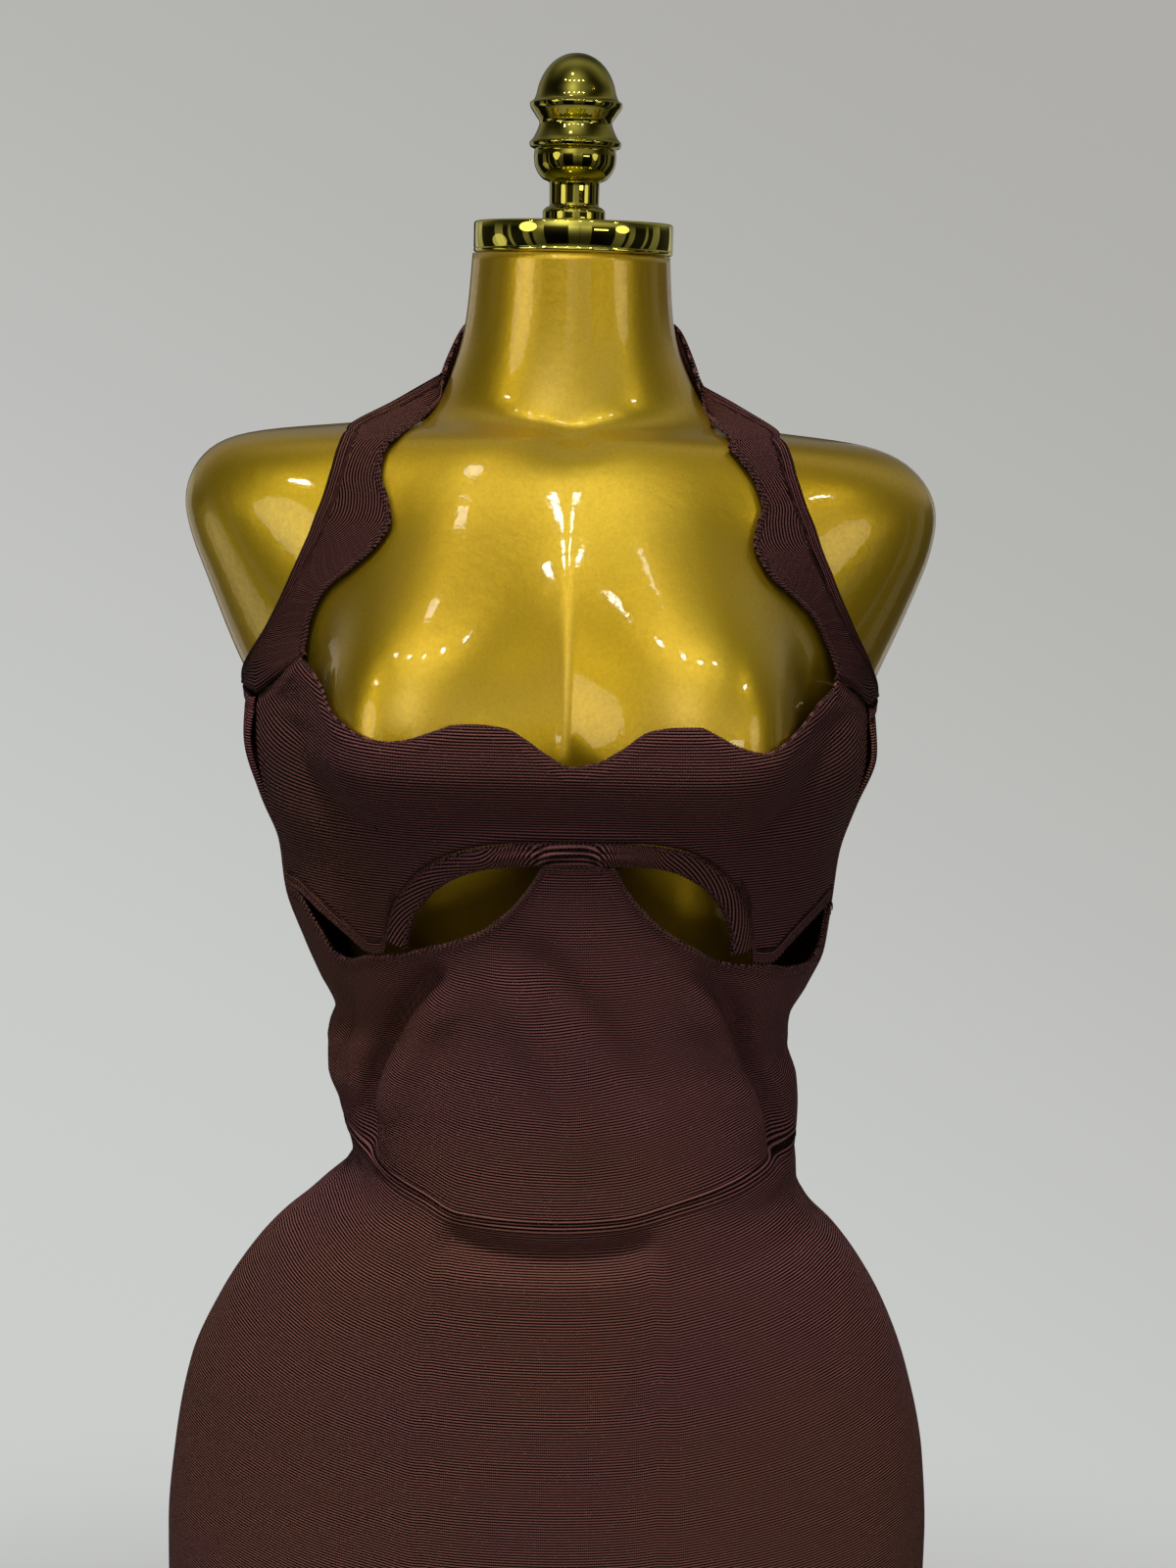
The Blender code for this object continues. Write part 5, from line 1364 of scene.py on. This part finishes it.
def build_straps():
    for name, node, sign, table in (("strap_right_cloth", "strap_right", -1, STRAP_RIGHT), ("strap_left_cloth", "strap_left", 1, STRAP_LEFT)):
        p = strap_grid(sign, table, 260, 34)
        along = run_along(p, 0)
        wide = run_along(p, 1)
        armhole = from_end(wide, 1)
        out = unit(np.cross(np.gradient(p, axis=1), np.gradient(p, axis=0))) * sign
        lift = groove(armhole, 0.0026, 0.0005, 0.0008) + groove(armhole, 0.0050, 0.0005, 0.0008) + 0.0003 * (1 - soft_step(armhole, 0.005, 0.007))
        lift = lift + 0.0003 * bump(wide, 0.0012, 0.0012) + groove(wide, 0.0034, 0.0003, 0.0009)
        lift = lift - 0.0006 * np.exp(-((along / 0.0020) ** 2)) + 0.0005 * bump(along, 0.0036, 0.0018)
        q = p + out * lift[..., None]
        length = along.mean(axis=1, keepdims=True)
        # Courses run across the lower strap and swing round until they run along it
        s = length
        turned = soft_step(s, 0.035, 0.120)
        straight = np.concatenate([[0], np.cumsum(np.diff(s[:, 0]) * (1 - 0.80 * (turned[1:, 0] + turned[:-1, 0]) / 2))])[:, None]
        c = straight + wide * turned * 0.95 + 0.0016 * np.sin(np.pi * np.clip(wide / np.maximum(wide[:, -1:], 1e-4), 0, 1)) * (1 - turned)
        edge_zone = 1 - soft_step(armhole, 0.0062, 0.0074)
        uv = np.stack([s + 0 * wide, c * (1 - edge_zone) + (armhole * 1.05) * edge_zone], -1)
        if sign > 0:
            grid, o = q[::-1], out[::-1]
            made_uv = uv[::-1]
        else:
            grid, o, made_uv = q[::-1, ::-1], out[::-1, ::-1], uv[::-1, ::-1]
        made = shell(name, grid, o, WALL, made_uv, KNIT_STRAP_SHADED)
        pieces[name] = dict(obj=made, p=q, out=out, sign=sign)
        own(made, "knit", node)
        # The inner edge turns in towards the neck where the strap climbs round it
        at_edge = q[:, 0] - out[:, 0] * WALL * 0.6
        near = (at_edge[:, 2] > 1.374) & (at_edge[:, 2] < 1.440)
        line = at_edge[near]
        turn = np.arctan2(line[:, 0], -line[:, 1])
        reach_in = np.sin(np.linspace(0.06, math.pi - 0.06, len(line))) ** 0.5
        ways = np.linspace(0, 1, 12)
        t_in = turn[:, None] + sign * math.radians(19.0) * reach_in[:, None] * ways
        z_in = np.repeat(line[:, 2:3], len(ways), 1) + 0.0 * t_in
        hug = form_surface(t_in, z_in) + outward(form_surface, t_in, z_in) * 0.0021
        stand_off = line[:, None] - hug[:, :1]
        flap = hug + stand_off * ((1 - ways) ** 1.6)[None, :, None]
        uv = np.stack([np.repeat(run_along(line[:, None], 0), len(ways), 1), run_along(flap, 1)], -1)
        face = unit(np.cross(np.gradient(flap, axis=1), np.gradient(flap, axis=0))) * sign
        turned_in = shell(name.replace("cloth", "turned_edge"), flap, face, 0.0012, uv, KNIT_STRAP_SHADED)
        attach(turned_in, ROOT)
        pieces[name].setdefault("trims", []).append(turned_in)


build_bust()
build_band()
build_midriff()
build_back()
build_skirts()
build_straps()

# ------------------------------------------------------------------ overlock stitches along the free edges


def edge_of(points, out, row):
    """A border line of a grid with the way that leads off the cloth there."""
    if row in ("top", "bottom"):
        line, nxt, o = (points[0], points[1], out[0]) if row == "top" else (points[-1], points[-2], out[-1])
    else:
        line, nxt, o = (points[:, 0], points[:, 1], out[:, 0]) if row == "left" else (points[:, -1], points[:, -2], out[:, -1])
    return line, o, unit(line - nxt)


def stitched(name, line, o, w, parent, **options):
    made = threads(name, line - w * WALL * 0.45, o, w, THREAD, **options)
    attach(made, ROOT)
    parent.setdefault("trims", []).append(made)
    return made


bust = pieces["bust"]
line, o, w = edge_of(bust["p"], bust["out"], "top")
cols = bust["columns"]
left_corner, right_corner = ((strap_corner(s)[0] - TURN_DEG) / float(side_deg(1.24)) for s in (-1, 1))
keep = (cols >= left_corner - 1e-6) & (cols <= right_corner + 1e-6)
stitched("neckline_stitches", line[keep], o[keep], w[keep], bust, pitch=0.00185, radius=0.00034, reach_in=0.0011, slant=0.0007)
for tag, sel in (("right", cols < -0.50), ("left", cols > 0.58)):
    line, o, w = edge_of(bust["p"], bust["out"], "bottom")
    stitched("corner_stitches_" + tag, line[sel], o[sel], w[sel], bust, pitch=0.0024, radius=0.00038, reach_in=0.0022, slant=0.0012)
mid = pieces["midriff"]
line, o, w = edge_of(mid["p"], mid["out"], "top")
stitched("midriff_stitches", line, o, w, mid, pitch=0.0024, radius=0.00045, reach_in=0.0030, slant=0.0020, lift=0.0003)
band = pieces["band"]
for tag in ("top", "bottom"):
    line, o, w = edge_of(band["p"], band["out"], tag)
    stitched("band_stitches_" + tag, line, o, w, band, pitch=0.0021, radius=0.00036, reach_in=0.0020, slant=0.0016, lift=0.0006)
for name in ("strap_right_cloth", "strap_left_cloth"):
    strap = pieces[name]
    line, o, w = edge_of(strap["p"], strap["out"], "left")
    stitched(name.replace("cloth", "stitches"), line, o, w, strap, pitch=0.0022, radius=0.00040, reach_in=0.0026, slant=0.0017)

# ------------------------------------------------------------------ studio


def world_light():
    world = bpy.data.worlds.new("studio")
    bpy.context.scene.world = world
    t = Tree(world)
    way = t.node("ShaderNodeTexCoord").outputs["Generated"]
    xyz = t.node("ShaderNodeSeparateXYZ", Vector=way)
    total = WORLD_EVEN
    for az, el, tight, bright in WORLD_SOFT:
        a, e = math.radians(az), math.radians(el)
        towards = (math.cos(e) * math.sin(a), -math.cos(e) * math.cos(a), math.sin(e))
        near = t.tree.nodes.new("ShaderNodeVectorMath")
        near.operation = "DOT_PRODUCT"
        t.put(near.inputs[0], way)
        t.put(near.inputs[1], towards)
        glow = t.math("EXPONENT", t.math("MULTIPLY_ADD", near.outputs[1], tight, -tight))
        total = t.math("MULTIPLY_ADD", glow, bright, total)
    # Windows and darker walls of the room, by turns, at eye level and below
    round_room = t.math("ARCTAN2", xyz.outputs[0], t.math("MULTIPLY", xyz.outputs[1], -1.0))
    waves = t.math("ADD", t.math("SINE", t.math("MULTIPLY_ADD", round_room, 7.0, 0.6)), t.math("MULTIPLY", t.math("SINE", t.math("MULTIPLY_ADD", round_room, 19.0, 2.1)), 0.8))
    bars = t.ramp(waves, 0.05, 0.30, 0.12, 2.2)
    level = t.ramp(xyz.outputs[2], 0.05, 0.22)
    total = t.math("MULTIPLY", total, t.math("ADD", t.math("MULTIPLY", bars, t.math("SUBTRACT", 1.0, level)), level))
    shade = t.node("ShaderNodeCombineColor", Red=total, Green=t.math("MULTIPLY", total, 0.985), Blue=t.math("MULTIPLY", total, 0.95))
    colour = shade.outputs[0]
    lit = t.node("ShaderNodeBackground", Color=colour, Strength=WORLD_STRENGTH)
    # What the camera sees is a plain wall, a little lighter low on the left
    tone = t.ramp(t.math("ADD", xyz.outputs[2], t.math("MULTIPLY", xyz.outputs[0], 0.5)), 0.20, -0.45)
    wall = t.mix(tone, (0.430, 0.425, 0.405), (0.600, 0.615, 0.600))
    seen = t.node("ShaderNodeBackground", Color=wall, Strength=1.0)
    path = t.node("ShaderNodeLightPath").outputs["Is Camera Ray"]
    both = t.node("ShaderNodeMixShader")
    t.put(both.inputs[0], path)
    t.put(both.inputs[1], lit.outputs[0])
    t.put(both.inputs[2], seen.outputs[0])
    t.node("ShaderNodeOutputWorld", Surface=both.outputs[0])


WORLD_STRENGTH = 1.0
WORLD_EVEN = 0.01
WORLD_SOFT = (
    # degrees from the front, height, tightness, brightness
    (-11, 21, 30, 1.45), (-14, 48, 24, 0.60), (14, 46, 24, 0.36), (22, 15, 30, 0.40),
    (45, 13, 30, 0.32), (-30, 15, 30, 0.34), (0, 4, 30, 0.08), (-95, -16, 14, 0.10), (95, -12, 14, 0.08), (-108, 62, 18, 0.24),
    (108, 62, 18, 0.20), (180, 88, 18, 0.30), (112, 38, 18, 0.20), (-158, 38, 18, 0.15), (150, -15, 14, 0.20), (-150, -15, 14, 0.18),
    (-135, 15, 18, 0.22), (135, 15, 18, 0.22), (180, 15, 14, 0.12), (-60, -15, 14, 0.06), (60, -15, 14, 0.04),
)


def lamp(name, at, size, power, target=(0.0, 0.0, 1.15), size_y=None, colour=(1.0, 0.975, 0.93), glossy=True, diffuse=True):
    data = bpy.data.lights.new(name, "AREA")
    data.shape = "RECTANGLE" if size_y else "DISK"
    data.size = size
    if size_y:
        data.size_y = size_y
    data.energy, data.color = power, colour
    obj = bpy.data.objects.new(name, data)
    bpy.context.scene.collection.objects.link(obj)
    obj.location = at
    obj.visible_glossy, obj.visible_diffuse = glossy, diffuse
    obj.rotation_euler = (Vector(target) - Vector(at)).to_track_quat("-Z", "Y").to_euler()
    return obj


def from_chest(az_deg, el_deg, far, centre=(0.0, 0.0, 1.25)):
    a, e = math.radians(az_deg), math.radians(el_deg)
    return (centre[0] + far * math.cos(e) * math.sin(a), centre[1] - far * math.cos(e) * math.cos(a), centre[2] + far * math.sin(e))


world_light()
lamp("key", from_chest(-52, 30, 2.6), 0.22, 2.0, size_y=0.06, diffuse=False)
lamp("skylight", from_chest(-20, 61, 2.6), 0.22, 1.0, size_y=0.16, diffuse=False)
lamp("panel_left", from_chest(-53, 9, 2.6), 1.0, 4.6, diffuse=False)
lamp("panel_low", from_chest(-97, -14, 2.2), 0.9, 0.9, diffuse=False)
lamp("panel_right", from_chest(58, 7, 2.6), 0.8, 2.2, diffuse=False)
lamp("fill", from_chest(53, 32, 2.6), 0.22, 1.8, size_y=0.06, diffuse=False)
lamp("top", from_chest(-12, 62, 2.6), 0.42, 44.0, size_y=0.35, glossy=False)
for n, (az, power) in enumerate(((-40, 0.8), (-24, 1.1), (-8, 0.9), (8, 1.4), (24, 1.1))):
    lamp(f"ceiling_{n}", from_chest(az, 47, 2.6), 0.12, power, size_y=0.07)
lamp("back", from_chest(168, 38, 3.0), 1.2, 22.0, size_y=0.8, glossy=False)
lamp("window", (1.38, -2.20, 1.457), 0.75, 1.6, size_y=0.12, target=(0.02, 0.0, 1.43))

# Pale floor, which fades into the background further off
mat, t = new_material("floor")
where = t.node("ShaderNodeTexCoord").outputs["Object"]
xyz = t.node("ShaderNodeSeparateXYZ", Vector=where)
far = t.math("SQRT", t.math("ADD", t.math("MULTIPLY", xyz.outputs[0], xyz.outputs[0]), t.math("MULTIPLY", xyz.outputs[1], xyz.outputs[1])))
plain = t.node("ShaderNodeBsdfPrincipled", **{"Base Color": (0.62, 0.615, 0.60, 1.0)}, Roughness=0.7)
clear = t.node("ShaderNodeBsdfTransparent")
both = t.node("ShaderNodeMixShader")
t.put(both.inputs[0], t.ramp(far, 0.9, 2.1))
t.put(both.inputs[1], plain.outputs[0])
t.put(both.inputs[2], clear.outputs[0])
finish_material(t, both)
ring = np.linspace(0, 2 * math.pi, 96, endpoint=False)
radii = np.array([0.0, 0.4, 0.8, 1.2, 1.6, 2.2])
pts = np.stack([radii[:, None] * np.cos(ring), radii[:, None] * np.sin(ring), np.full((len(radii), len(ring)), -0.0004)], -1)
quads = [(i * 96 + j, (i + 1) * 96 + j, (i + 1) * 96 + (j + 1) % 96, i * 96 + (j + 1) % 96) for i in range(1, len(radii) - 1) for j in range(96)]
fan = [(0, 96 + j, 96 + (j + 1) % 96) for j in range(96)]
floor = make_object("floor", pts.reshape(-1, 3), quads + fan, mat)

bpy.context.scene.view_settings.view_transform = "Standard"
bpy.context.scene.view_settings.exposure = 0.0

bpy.context.view_layer.update()
